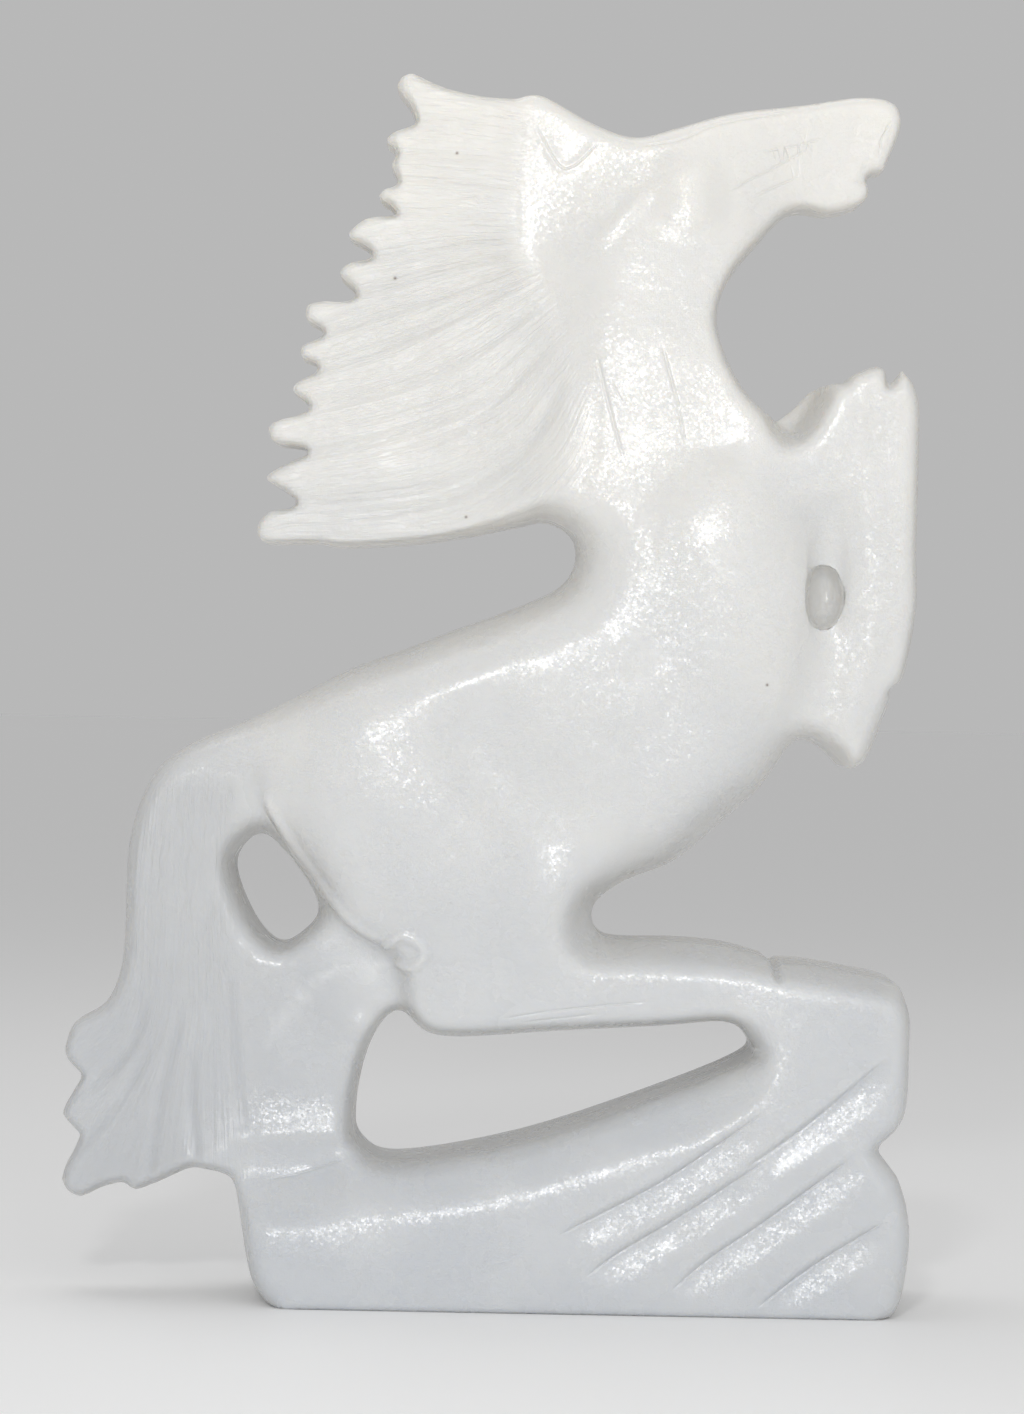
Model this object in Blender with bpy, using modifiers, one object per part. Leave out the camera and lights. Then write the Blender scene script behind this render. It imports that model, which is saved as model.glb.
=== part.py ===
"""Rearing horse on its base, carved in one piece from a slab of white stone.

The carver saws the side view out of a slab, opens the two see-through holes,
rounds the slab over to the thickness of each limb, and then cuts the locks of
the mane, the tail and the folds of the base as grooves. This script does the
same in the same order. Metres, +Z up, the horse faces +X, the nearer side is -Y.
"""
from math import cos, pi, radians, sin

import bmesh
import bpy
import numpy as np
from mathutils import Vector
from mathutils.bvhtree import BVHTree

# Driving dimensions of the carving
HEIGHT = 0.300
LENGTH = 0.2063

# Half thickness of each region of the slab
BODY_HALF = 0.0310
HAUNCH_HALF = 0.0315
SHOULDER_HALF = 0.0300
NECK_HALF = 0.0240
WITHERS_HALF = 0.0270
CHEEK_HALF = 0.0175
HEAD_HALF = 0.0148
MUZZLE_HALF = 0.0108
MANE_ROOT_HALF = 0.0150
MANE_HALF = 0.0125
MANE_TIP_HALF = 0.0105
FORELEG_HALF = 0.0245
HIND_LEG_HALF = 0.0285
HOOF_HALF = 0.0310
TAIL_HALF = 0.0190
TAIL_TIP_HALF = 0.0120
WEB_HALF = 0.0200
BASE_HALF = 0.0330

# How far in from the outline each kind of form is rounded over
BODY_ROUND = 0.0195
LIMB_ROUND = 0.0055
HEAD_ROUND = 0.0050
MANE_ROUND = 0.0025
TAIL_ROUND = 0.0060
BASE_ROUND = 0.0065

# Half width of the wall that is left at the outline
BODY_RIM = 0.0035
HEAD_RIM = 0.0055
MUZZLE_RIM = 0.0042
NECK_RIM = 0.0085
MANE_RIM = 0.0088
LIMB_RIM = 0.0140
TAIL_RIM = 0.0080
BLOCK_RIM = 0.0240

# Edges between planes: the half thickness at the line, how it goes on from there
# to the left and to the right of the line (rise per length), how far the edge
# reaches, and the length over which it fades in at both ends
HAUNCH_EDGE = (0.0210, 0.0, 3.0, 0.0140, 0.0060)
LEG_TOP_EDGE = (0.0288, -1.7, 1.5, 0.0100, 0.0030)
BASE_TOP_EDGE = (0.0330, -0.75, 1.0, 0.0170, 0.0030)
SHOULDER_EDGE = (0.0280, -0.4, 0.4, 0.0090, 0.0050)
KNEE_EDGE = (0.0240, -6.0, 1.0, 0.0060, 0.0040)
EDGE_EASE = 1.5
LEAST_HALF = 0.0025

# Tool marks: depth (raised where negative), reach to the left and to the right of
# the line as it is drawn, and the length over which the mark fades at both ends
MANE_GROOVE = (0.0015, 0.0030, 0.0030, 0.0090)
TAIL_GROOVE = (0.0013, 0.0030, 0.0030, 0.0090)
BASE_GROOVE = (0.0020, 0.0026, 0.0080, 0.0140)
NECK_GROOVE = (0.0010, 0.0024, 0.0024, 0.0050)
FACE_LINE = (0.0008, 0.0020, 0.0020, 0.0040)
HOOF_LINE = (0.0014, 0.0020, 0.0020, 0.0030)
MANE_STEP = (0.0010, 0.0030, 0.0090, 0.0080)
FLANK_STEP = (0.0022, 0.0240, 0.0140, 0.0160)
LEG_VALLEY = (0.0030, 0.0080, 0.0080, 0.0080)
FOOT_STEP = (0.0010, 0.0020, 0.0040, 0.0040)
EAR_RIDGE = (-0.0010, 0.0024, 0.0024, 0.0030)
JAW_RIDGE = (-0.0012, 0.0036, 0.0036, 0.0060)
TENDON = (-0.0010, 0.0022, 0.0022, 0.0060)
HOCK_SWELL = (-0.0014, 0.0040, 0.0040, 0.0000)
CHEEK_SWELL = (-0.0016, 0.0110, 0.0110, 0.0000)
SHOULDER_SWELL = (-0.0015, 0.0220, 0.0220, 0.0000)
HAUNCH_SWELL = (-0.0015, 0.0280, 0.0280, 0.0000)

# Behind the forearm: half width, half height and depth of a deep hole and of the
# shallow dish round it, and how steep their walls are (higher is steeper)
POCKET_HOLE = (0.0036, 0.0068, 0.0130, 6)
POCKET_DISH = (0.0048, 0.0150, 0.0026, 2)

# Working sizes
SLAB_HALF = 0.036
OVERLAP = 0.0015
WELD = 0.00001
OUTLINE_STEPS = 5
VOXEL = 0.0012
REACH = 0.0100
TRIANGLES = 11600
SMOOTH_PASSES = 3
LINE_STEPS = 6
SHARP_EDGE = radians(50)
FLOOR_TRIM = HEIGHT / 6
WALL_TURN = 4.0

# The drawing grid: x runs right, y runs down, and HEIGHT is GRID_HEIGHT units.
# The drawing leans by GRID_TILT, and (GRID_X, GRID_FLOOR) is on the floor line.
GRID_HEIGHT = 1217
GRID_LENGTH = 836
GRID_X = 581
GRID_FLOOR = 1299
GRID_MIDDLE = -99.5
GRID_TILT = radians(1.1)
# It is seen from this far, straight in front of its middle, so what stands
# nearer than the middle of the slab is drawn larger than it is
VIEW_DISTANCE = 1.2
EYE_X = 512
EYE_Y = 707

# Side view. Each stroke is smooth, and the line turns sharply where two meet.
MANE_LOCKS = [
    [(516, 99), (480, 96), (446, 88), (425, 79), (411, 73), (399, 80), (399, 96), (415, 117)],
    [(415, 117), (413, 125), (396, 131), (384.5, 141), (388, 151), (396, 153)],
    [(396, 153), (391.5, 165), (392, 173), (397, 180)],
    [(397, 180), (394, 187), (383, 189), (379, 197), (382, 206), (396, 214)],
    [(396, 214), (367, 218), (348, 234), (352, 244), (374, 255)],
    [(374, 255), (350, 262), (339, 273), (344, 284), (355, 293)],
    [(355, 293), (345, 299), (311, 303), (305, 313), (309, 325), (324, 332)],
    [(324, 332), (302, 345), (300, 352), (303, 362), (318, 367)],
    [(318, 367), (301, 379), (292, 388), (296, 396), (308, 405)],
    [(308, 405), (300, 413), (274, 422), (268, 431), (278, 446), (308, 451)],
    [(308, 451), (278, 468), (264, 478), (272, 484), (290, 495), (295, 502)],
    [(295, 502), (288, 507), (268, 512), (256, 529), (262, 541), (275, 546),
     (320, 545), (342, 549), (400, 547), (458, 540), (523, 527)],
]
BACK = [(523, 527), (542, 523), (560, 529), (573, 542), (575, 562), (565, 582), (545, 596),
        (500, 614), (450, 632), (400, 651), (350, 669), (300, 695), (248, 720), (190, 744),
        (152, 777), (130, 841), (126, 918), (122, 965), (107, 1001), (77, 1020),
        (67, 1040), (66, 1056), (83, 1075)]
TAIL_LOCKS = [
    [(83, 1075), (65, 1106), (65, 1117), (81, 1134)],
    [(81, 1134), (63, 1172), (66, 1188), (81, 1196), (104, 1186), (125, 1181)],
    [(125, 1181), (132, 1188), (145, 1187), (190, 1167)],
]
BASE_LEFT = [(190, 1167), (222, 1173), (235, 1188), (246, 1255), (254, 1284), (272, 1307)]
BELOW_FLOOR = [[(272, 1307), (286, 1350)], [(286, 1350), (864, 1362)], [(864, 1362), (881, 1322)]]
BASE_RIGHT = [(881, 1322), (897, 1308), (906, 1272), (909, 1227), (900, 1185), (876, 1149)]
HIND_HOOF = [(876, 1149), (904, 1116), (909, 1051), (908, 1010), (889, 977), (835, 963),
             (789, 956), (774, 956)]
SHANK = [(774, 956), (724, 941), (674, 936), (616, 935), (597, 929), (591, 915), (598, 899),
         (625, 880), (674, 860), (720, 822), (760, 786), (788, 746), (806, 740), (826, 753),
         (838, 766), (850, 770)]
FORE_HOOF = [(850, 770), (866, 758), (883, 717), (892.5, 692)]
NEAR_CANNON = [(892.5, 692), (904, 672), (916, 609), (916, 555), (918, 480), (919, 408),
               (910, 380), (898, 374), (891, 383)]
NEAR_KNEE = [(891, 383), (880, 367), (856, 373), (842, 384)]
FAR_KNEE = [(842, 384), (826, 384), (811, 391), (793, 409), (776, 421)]
FAR_FORELEG = [(850, 770), (866, 740), (876, 690), (880, 600), (878, 480), (872, 410),
               (858, 388), (842, 384)]
THROAT = [(776, 421), (744, 391), (721, 344), (717, 312), (728, 281), (755, 248), (780, 221),
          (800, 215), (824, 219), (849, 213), (863, 204), (869, 190), (865, 182), (867, 178)]
MUZZLE = [(867, 178), (879, 177), (888, 160), (900, 129), (899, 111), (887, 101), (858, 98), (801, 106),
          (732, 114), (676, 129), (635, 138), (595, 125), (549, 99), (532, 95), (516, 99)]
TAIL_HOLE = [(238, 856), (255, 835), (273, 838), (305, 876), (319, 908), (305, 929), (282, 940),
             (260, 921), (242, 884)]
LEG_OPENING = [(402, 1010), (440, 1035), (560, 1030), (663, 1025), (722, 1021), (744, 1033),
               (738, 1050), (655, 1084), (521, 1128), (399, 1149), (362, 1134), (356, 1108),
               (364, 1060), (380, 1024)]

# Thickness landmarks: x, y, half thickness, rounding and rim at that place
FORMS = [
    (560, 140, HEAD_HALF, HEAD_ROUND, HEAD_RIM),
    (640, 165, HEAD_HALF, HEAD_ROUND, HEAD_RIM),
    (690, 190, CHEEK_HALF, HEAD_ROUND, HEAD_RIM),
    (765, 165, HEAD_HALF, HEAD_ROUND, HEAD_RIM),
    (820, 150, MUZZLE_HALF, HEAD_ROUND, MUZZLE_RIM),
    (870, 150, MUZZLE_HALF, HEAD_ROUND, MUZZLE_RIM),
    (840, 205, MUZZLE_HALF, HEAD_ROUND, MUZZLE_RIM),
    (410, 90, MANE_TIP_HALF, MANE_ROUND, MANE_RIM),
    (390, 200, MANE_TIP_HALF, MANE_ROUND, MANE_RIM),
    (320, 320, MANE_TIP_HALF, MANE_ROUND, MANE_RIM),
    (280, 430, MANE_TIP_HALF, MANE_ROUND, MANE_RIM),
    (280, 530, MANE_TIP_HALF, MANE_ROUND, MANE_RIM),
    (460, 140, MANE_HALF, MANE_ROUND, MANE_RIM),
    (450, 260, MANE_HALF, MANE_ROUND, MANE_RIM),
    (400, 400, MANE_HALF, MANE_ROUND, MANE_RIM),
    (400, 500, MANE_HALF, MANE_ROUND, MANE_RIM),
    (490, 470, MANE_ROOT_HALF, MANE_ROUND, MANE_RIM),
    (510, 360, MANE_ROOT_HALF, MANE_ROUND, MANE_RIM),
    (540, 240, MANE_ROOT_HALF, HEAD_ROUND, HEAD_RIM),
    (640, 270, NECK_HALF, HEAD_ROUND, NECK_RIM),
    (620, 360, NECK_HALF, HEAD_ROUND, NECK_RIM),
    (600, 460, NECK_HALF, HEAD_ROUND, NECK_RIM),
    (595, 530, WITHERS_HALF, BODY_ROUND, NECK_RIM),
    (680, 400, NECK_HALF, HEAD_ROUND, NECK_RIM),
    (730, 540, SHOULDER_HALF, BODY_ROUND, BODY_RIM),
    (640, 580, SHOULDER_HALF, BODY_ROUND, BODY_RIM),
    (760, 680, SHOULDER_HALF, BODY_ROUND, BODY_RIM),
    (830, 450, FORELEG_HALF, LIMB_ROUND, LIMB_RIM),
    (885, 400, FORELEG_HALF, LIMB_ROUND, LIMB_RIM),
    (885, 520, FORELEG_HALF, LIMB_ROUND, LIMB_RIM),
    (880, 640, FORELEG_HALF, LIMB_ROUND, LIMB_RIM),
    (850, 730, FORELEG_HALF, LIMB_ROUND, LIMB_RIM),
    (560, 650, BODY_HALF, BODY_ROUND, BODY_RIM),
    (600, 760, BODY_HALF, BODY_ROUND, BODY_RIM),
    (690, 780, BODY_HALF, BODY_ROUND, BODY_RIM),
    (450, 700, BODY_HALF, BODY_ROUND, BODY_RIM),
    (330, 760, HAUNCH_HALF, BODY_ROUND, BODY_RIM),
    (400, 860, HAUNCH_HALF, BODY_ROUND, BODY_RIM),
    (500, 900, HAUNCH_HALF, BODY_ROUND, BODY_RIM),
    (440, 980, HIND_LEG_HALF, LIMB_ROUND, LIMB_RIM),
    (560, 980, HIND_LEG_HALF, LIMB_ROUND, LIMB_RIM),
    (700, 980, HIND_LEG_HALF, LIMB_ROUND, LIMB_RIM),
    (830, 1010, HOOF_HALF, LIMB_ROUND, LIMB_RIM),
    (850, 1090, HOOF_HALF, LIMB_ROUND, BLOCK_RIM),
    (230, 770, TAIL_HALF, TAIL_ROUND, TAIL_RIM),
    (180, 860, TAIL_HALF, TAIL_ROUND, TAIL_RIM),
    (190, 1000, TAIL_HALF, TAIL_ROUND, TAIL_RIM),
    (90, 1050, TAIL_TIP_HALF, MANE_ROUND, TAIL_RIM),
    (100, 1160, TAIL_TIP_HALF, MANE_ROUND, TAIL_RIM),
    (190, 1120, TAIL_HALF, TAIL_ROUND, TAIL_RIM),
    (310, 1000, WEB_HALF, TAIL_ROUND, TAIL_RIM),
    (310, 1110, WEB_HALF, TAIL_ROUND, TAIL_RIM),
    (300, 1230, BASE_HALF, BASE_ROUND, BLOCK_RIM),
    (280, 1290, BASE_HALF, BASE_ROUND, BLOCK_RIM),
    (450, 1200, BASE_HALF, BASE_ROUND, BLOCK_RIM),
    (450, 1290, BASE_HALF, BASE_ROUND, BLOCK_RIM),
    (600, 1160, BASE_HALF, BASE_ROUND, BLOCK_RIM),
    (620, 1290, BASE_HALF, BASE_ROUND, BLOCK_RIM),
    (740, 1110, BASE_HALF, BASE_ROUND, BLOCK_RIM),
    (800, 1180, BASE_HALF, BASE_ROUND, BLOCK_RIM),
    (850, 1280, BASE_HALF, BASE_ROUND, BLOCK_RIM),
]

# Where the edges between planes run; the last one is on the nearer side only
EDGES = [
    (HAUNCH_EDGE, [(402, 1015), (398, 968), (385, 952), (352, 932), (328, 909), (300, 873),
                   (278, 839), (262, 800), (254, 765)]),
    (LEG_TOP_EDGE, [(612, 876), (585, 892), (567, 915), (563, 940), (584, 966), (640, 969),
                    (700, 970), (760, 974), (800, 981), (860, 988), (905, 1000)]),
    (BASE_TOP_EDGE, [(240, 1226), (300, 1224), (353, 1220), (445, 1208), (521, 1193),
                     (598, 1170), (682, 1146), (745, 1118), (775, 1085), (783, 1050),
                     (775, 1020), (750, 1004)]),
    (SHOULDER_EDGE, [(630, 466), (655, 478), (700, 481), (745, 474), (775, 458)]),
]
NEAR_EDGES = EDGES + [
    (KNEE_EDGE, [(785, 449), (803, 439), (818, 422), (830, 399), (842, 385)]),
]

# Where each tool mark runs, with x to the right and y down on the grid
MARKS = [
    (MANE_GROOVE, [(500, 128), (455, 122), (415, 119), (385, 112)]),
    (MANE_GROOVE, [(504, 160), (450, 156), (396, 153), (366, 152)]),
    (MANE_GROOVE, [(506, 190), (455, 184), (397, 180), (367, 180)]),
    (MANE_GROOVE, [(508, 220), (455, 216), (396, 214), (366, 217)]),
    (MANE_GROOVE, [(511, 240), (445, 244), (374, 256), (345, 262)]),
    (MANE_GROOVE, [(514, 255), (450, 268), (355, 294), (326, 304)]),
    (MANE_GROOVE, [(518, 268), (440, 296), (324, 333), (296, 344)]),
    (MANE_GROOVE, [(524, 282), (458, 313), (393, 345), (318, 369), (290, 378)]),
    (MANE_GROOVE, [(540, 305), (470, 352), (400, 384), (308, 406), (280, 413)]),
    (MANE_GROOVE, [(556, 338), (490, 398), (393, 434), (308, 452), (280, 459)]),
    (MANE_GROOVE, [(566, 380), (523, 438), (441, 484), (295, 502), (266, 506)]),
    (MANE_STEP, [(520, 104), (514, 170), (512, 250)]),
    (TAIL_GROOVE, [(147, 1000), (131, 1049), (95, 1086), (70, 1102)]),
    (TAIL_GROOVE, [(155, 1040), (118, 1104), (82, 1147), (66, 1160)]),
    (TAIL_GROOVE, [(186, 1000), (170, 1058), (159, 1104), (146, 1190)]),
    (TAIL_GROOVE, [(195, 1050), (193, 1099), (195, 1180)]),
    (TAIL_GROOVE, [(231, 970), (235, 1036), (243, 1140)]),
    (BASE_GROOVE, [(558, 1236), (664, 1181), (765, 1112)]),
    (BASE_GROOVE, [(586, 1277), (618, 1254), (687, 1213), (765, 1162)]),
    (BASE_GROOVE, [(671, 1291), (710, 1259), (765, 1222), (860, 1152)]),
    (BASE_GROOVE, [(756, 1309), (811, 1268), (885, 1222)]),
    (BASE_GROOVE, [(742, 1171), (802, 1130), (895, 1058)]),
    (NECK_GROOVE, [(597, 355), (622, 456)]),
    (NECK_GROOVE, [(662, 340), (685, 446)]),
    (FACE_LINE, [(757, 152), (790, 147), (822, 139)]),
    (FACE_LINE, [(730, 190), (751, 180), (812, 147)]),
    (FACE_LINE, [(753, 198), (801, 175)]),
    (FACE_LINE, [(885, 190), (850, 182)]),
    (EAR_RIDGE, [(536, 126), (559, 165), (572, 167), (585, 157), (599, 142)]),
    (JAW_RIDGE, [(590, 254), (625, 215), (660, 180)]),
    (CHEEK_SWELL, [(690, 180), (690, 205)]),
    (FLANK_STEP, [(450, 690), (480, 760), (530, 820), (570, 880)]),
    (TENDON, [(262, 790), (290, 843), (335, 905), (360, 928), (390, 944)]),
    (HOCK_SWELL, [(404, 946), (410, 958)]),
    (LEG_VALLEY, [(826, 490), (832, 560), (828, 650), (806, 735)]),
    (HAUNCH_SWELL, [(390, 790), (440, 870)]),
    (SHOULDER_SWELL, [(720, 540), (740, 650)]),
    (HOOF_LINE, [(774, 940), (780, 985)]),
    (HOOF_LINE, [(910, 686), (888, 696)]),
    (HOOF_LINE, [(893, 370), (889, 392)]),
    (FOOT_STEP, [(235, 1190), (264, 1181), (345, 1158)]),
]
POCKETS = [(POCKET_HOLE, (821, 597)), (POCKET_DISH, (829, 584))]


def place(x, y, nearer=0.0):
    """Turn a grid point that lies this much nearer than the middle into metres (x, z)."""
    shrink = 1.0 - nearer / VIEW_DISTANCE
    right = EYE_X + (x - EYE_X) * shrink - GRID_X
    up = GRID_FLOOR - EYE_Y - (y - EYE_Y) * shrink
    level_x = right * cos(GRID_TILT) - up * sin(GRID_TILT) - GRID_MIDDLE
    level_z = right * sin(GRID_TILT) + up * cos(GRID_TILT)
    return level_x * LENGTH / GRID_LENGTH, level_z * HEIGHT / GRID_HEIGHT


def form_at(x, y):
    """Half thickness, rounding and rim at a grid point."""
    across, up = place(x, y)
    return blend_forms(np.array([across]), np.array([up]))[:, 0]


def place_on_form(x, y):
    """Place a grid point that is seen on the near face."""
    return place(x, y, form_at(x, y)[0])


def place_wall(stroke):
    """A wall shows its near edge where it faces away from the eye, else its far edge."""
    points = np.array(stroke, float)
    along = np.gradient(points, axis=0)
    outward = np.stack([-along[:, 1], along[:, 0]], axis=1)
    away = points - (EYE_X, EYE_Y)
    facing = (outward * away).sum(axis=1)
    facing /= np.linalg.norm(outward, axis=1) * np.linalg.norm(away, axis=1)
    placed = []
    for (x, y), turn in zip(points, np.clip(WALL_TURN * facing, -1.0, 1.0)):
        placed.append(place(x, y, form_at(x, y)[2] * turn))
    return placed


def collection(name):
    """Make a collection in the scene."""
    group = bpy.data.collections.new(name)
    bpy.context.scene.collection.children.link(group)
    return group


def polished_stone():
    """White, slightly warm, polished stone."""
    material = bpy.data.materials.new("stone")
    material.use_nodes = True
    shader = material.node_tree.nodes["Principled BSDF"]
    shader.inputs["Base Color"].default_value = (0.80, 0.80, 0.77, 1.0)
    shader.inputs["Roughness"].default_value = 0.22
    shader.inputs["Metallic"].default_value = 0.0
    return material


def evaluated_mesh(obj):
    """The mesh of an object as its modifiers leave it, in world space."""
    graph = bpy.context.evaluated_depsgraph_get()
    mesh = bpy.data.meshes.new_from_object(obj.evaluated_get(graph))
    mesh.transform(obj.matrix_world)
    return mesh


def replace_with_result(obj):
    """Keep the evaluated shape as plain mesh data and drop the modifiers."""
    name = obj.name
    group = obj.users_collection[0]
    mesh = evaluated_mesh(obj)
    bpy.data.objects.remove(obj)
    result = bpy.data.objects.new(name, mesh)
    group.objects.link(result)
    return result


def add_spline(curve, points, corners=()):
    """Draw one closed smooth loop that turns sharply only at the corners."""
    spline = curve.splines.new("BEZIER")
    spline.bezier_points.add(len(points) - 1)
    spline.use_cyclic_u = True
    for index, (point, (across, up)) in enumerate(zip(spline.bezier_points, points)):
        kind = "VECTOR" if index in corners else "AUTO"
        point.co = (across, up, 0.0)
        point.handle_left_type = kind
        point.handle_right_type = kind


def join_strokes(strokes):
    """Join strokes end to end; each stroke starts at a corner of the loop."""
    points = []
    corners = []
    for stroke in strokes:
        corners.append(len(points))
        points.extend(place_wall(stroke)[:-1])
    return points, corners


def sawn_half(name, group, foreleg, side):
    """Saw the side view out of one half of the slab; side is -1 near, 1 far."""
    outline = MANE_LOCKS + [BACK] + TAIL_LOCKS
    outline += [BASE_LEFT] + BELOW_FLOOR + [BASE_RIGHT, HIND_HOOF, SHANK]
    outline += foreleg + [FAR_KNEE, THROAT, MUZZLE]
    curve = bpy.data.curves.new(name, "CURVE")
    curve.dimensions = "2D"
    curve.fill_mode = "BOTH"
    curve.extrude = SLAB_HALF / 2
    curve.resolution_u = OUTLINE_STEPS
    add_spline(curve, *join_strokes(outline))
    add_spline(curve, place_wall(TAIL_HOLE))
    add_spline(curve, place_wall(LEG_OPENING))
    sketch = bpy.data.objects.new(name, curve)
    sketch.rotation_euler = (pi / 2, 0.0, 0.0)
    sketch.location = (0.0, side * (SLAB_HALF / 2 - OVERLAP), 0.0)
    group.objects.link(sketch)
    bpy.context.view_layer.update()
    half = replace_with_result(sketch)
    weld = bmesh.new()
    weld.from_mesh(half.data)
    bmesh.ops.remove_doubles(weld, verts=weld.verts, dist=WELD)
    bmesh.ops.recalc_face_normals(weld, faces=weld.faces)
    weld.to_mesh(half.data)
    weld.free()
    return half


def wall_tree(mesh):
    """Search tree over the sawn wall, which runs square to the side view."""
    corners = [vertex.co.copy() for vertex in mesh.vertices]
    wall = [face.vertices[:] for face in mesh.polygons if abs(face.normal.y) < 0.5]
    return BVHTree.FromPolygons(corners, wall)


def blend_forms(across, up):
    """Half thickness, rounding and rim at each point, weighted by nearness."""
    total = np.zeros((len(across), 3))
    weights = np.zeros(len(across))
    for x, y, half, rounding, rim in FORMS:
        at_x, at_z = place(x, y, half)
        weight = np.exp(-((across - at_x) ** 2 + (up - at_z) ** 2) / (2 * REACH ** 2))
        total += weight[:, None] * np.array([half, rounding, rim])
        weights += weight
    return (total / weights[:, None]).T


def limit_by_edges(thickness, spots, edges):
    """Hold the thickness under each edge's plane, eased past its reach and its ends."""
    for (at, left, right, reach, fade), line in edges:
        corners = smooth_line([place(x, y, at) for x, y in line])
        aside, on_left, to_end, beyond = follow(corners, spots)
        slope = np.where(on_left, left * np.clip(to_end / fade, 0.0, 1.0), right)
        past = np.maximum(aside - reach, 0.0)
        limit = at + slope * aside + (EDGE_EASE + np.abs(slope)) * past + EDGE_EASE * beyond
        thickness = np.minimum(thickness, limit)
    return np.maximum(thickness, LEAST_HALF)


def round_over(half, tree, side):
    """Bring the flat half down to the thickness of each form."""
    count = len(half.data.vertices)
    points = np.empty(count * 3)
    half.data.vertices.foreach_get("co", points)
    points = points.reshape(-1, 3)
    middle = side * (SLAB_HALF / 2 - OVERLAP)
    inset = np.array([tree.find_nearest(Vector((x, middle, z)))[3] for x, _, z in points])
    thickness, rounding, rim = blend_forms(points[:, 0], points[:, 2])
    edges = NEAR_EDGES if side < 0 else EDGES
    thickness = limit_by_edges(thickness, points[:, ::2], edges)
    rim = np.minimum(rim, thickness)
    share = np.clip(inset / rounding, 0.0, 1.0)
    crown = rim + (thickness - rim) * np.sqrt(1.0 - (1.0 - share) ** 2)
    for (half_width, half_height, depth, steepness), (x, y) in POCKETS:
        pocket_x, pocket_z = place(x, y, FORELEG_HALF)
        pocket = np.hypot((points[:, 0] - pocket_x) / half_width,
                          (points[:, 2] - pocket_z) / half_height)
        crown -= depth * np.clip(1.0 - pocket ** steepness, 0.0, 1.0)
    from_middle = points[:, 1] * side
    outward = from_middle > 0.0
    points[outward, 1] = side * (from_middle * crown / (SLAB_HALF - OVERLAP))[outward]
    half.data.vertices.foreach_set("co", points.ravel())
    half.data.update()


def remesh(obj, voxel):
    """Even out the surface with small cells of one size."""
    modifier = obj.modifiers.new("remesh", "REMESH")
    modifier.mode = "VOXEL"
    modifier.voxel_size = voxel
    return replace_with_result(obj)


def smooth_line(points):
    """Round a line off: each stretch is a cubic that leaves along its neighbours' chord."""
    points = np.array(points)
    before = np.vstack([2 * points[0] - points[1], points[:-2], points[-2]])[:-1]
    after = np.vstack([points[2:], 2 * points[-1] - points[-2]])
    start, end = points[:-1], points[1:]
    share = np.arange(LINE_STEPS)[:, None, None] / LINE_STEPS
    curve = (start + 0.5 * share * (end - before)
             + share ** 2 * (before - 2.5 * start + 2 * end - 0.5 * after)
             + 0.5 * share ** 3 * (3 * start - before - 3 * end + after))
    return np.vstack([curve.transpose(1, 0, 2).reshape(-1, 2), points[-1]])


def follow(corners, spots):
    """Way aside from a line, its side, the way to its nearer end and the way past it."""
    nearest = np.full(len(spots), np.inf)
    aside = np.zeros(len(spots))
    on_left = np.zeros(len(spots), bool)
    to_end = np.zeros(len(spots))
    beyond = np.zeros(len(spots))
    lengths = np.hypot(*(corners[1:] - corners[:-1]).T)
    walked = 0.0
    for start, end, length in zip(corners[:-1], corners[1:], lengths):
        run = (end - start) / length
        offset = spots - start
        ahead = offset @ run
        along = np.clip(ahead, 0.0, length)
        away = offset - along[:, None] * run
        across = run[0] * offset[:, 1] - run[1] * offset[:, 0]
        distance = np.hypot(away[:, 0], away[:, 1])
        left_over = np.minimum(walked + along, lengths.sum() - walked - along)
        at_end = left_over <= 0.0
        closer = distance < nearest
        nearest[closer] = distance[closer]
        aside[closer] = np.where(at_end, np.abs(across), distance)[closer]
        on_left[closer] = (across > 0.0)[closer]
        to_end[closer] = left_over[closer]
        beyond[closer] = np.where(at_end, np.abs(ahead - along), 0.0)[closer]
        walked += length
    return aside, on_left, to_end, beyond


def mark_depth(spots, mark, line):
    """Depth of one mark: a smooth bell across its line that fades at both ends."""
    depth, left, right, fade = mark
    corners = smooth_line([place_on_form(x, y) for x, y in line])
    aside, on_left, to_end, beyond = follow(corners, spots)
    distance = np.hypot(aside, beyond)
    share = np.clip(distance / np.where(on_left, left, right), 0.0, 1.0)
    bell = 0.5 * (1.0 + np.cos(pi * share))
    if fade > 0.0:
        bell *= np.sin(0.5 * pi * np.clip(to_end / fade, 0.0, 1.0))
    return depth * bell


def carve(obj):
    """Cut every groove along the surface normal, and raise every ridge."""
    mesh = obj.data
    points = np.empty(len(mesh.vertices) * 3)
    normals = np.empty(len(mesh.vertices) * 3)
    mesh.vertices.foreach_get("co", points)
    mesh.vertices.foreach_get("normal", normals)
    points = points.reshape(-1, 3)
    normals = normals.reshape(-1, 3)
    depth = sum(mark_depth(points[:, ::2], mark, line) for mark, line in MARKS)
    points -= depth[:, None] * normals
    mesh.vertices.foreach_set("co", points.ravel())
    mesh.update()


def floor_cutter(group):
    """A block under the floor that saws the foot of the base flat."""
    mesh = bpy.data.meshes.new("floor_cutter")
    block = bmesh.new()
    bmesh.ops.create_cube(block, size=1.0)
    bmesh.ops.scale(block, verts=block.verts, vec=(2 * LENGTH, 4 * SLAB_HALF, FLOOR_TRIM))
    block.to_mesh(mesh)
    block.free()
    cutter = bpy.data.objects.new("floor_cutter", mesh)
    cutter.location = (0.0, 0.0, -FLOOR_TRIM / 2)
    cutter.hide_render = True
    cutter.display_type = "WIRE"
    group.objects.link(cutter)
    return cutter


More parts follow.
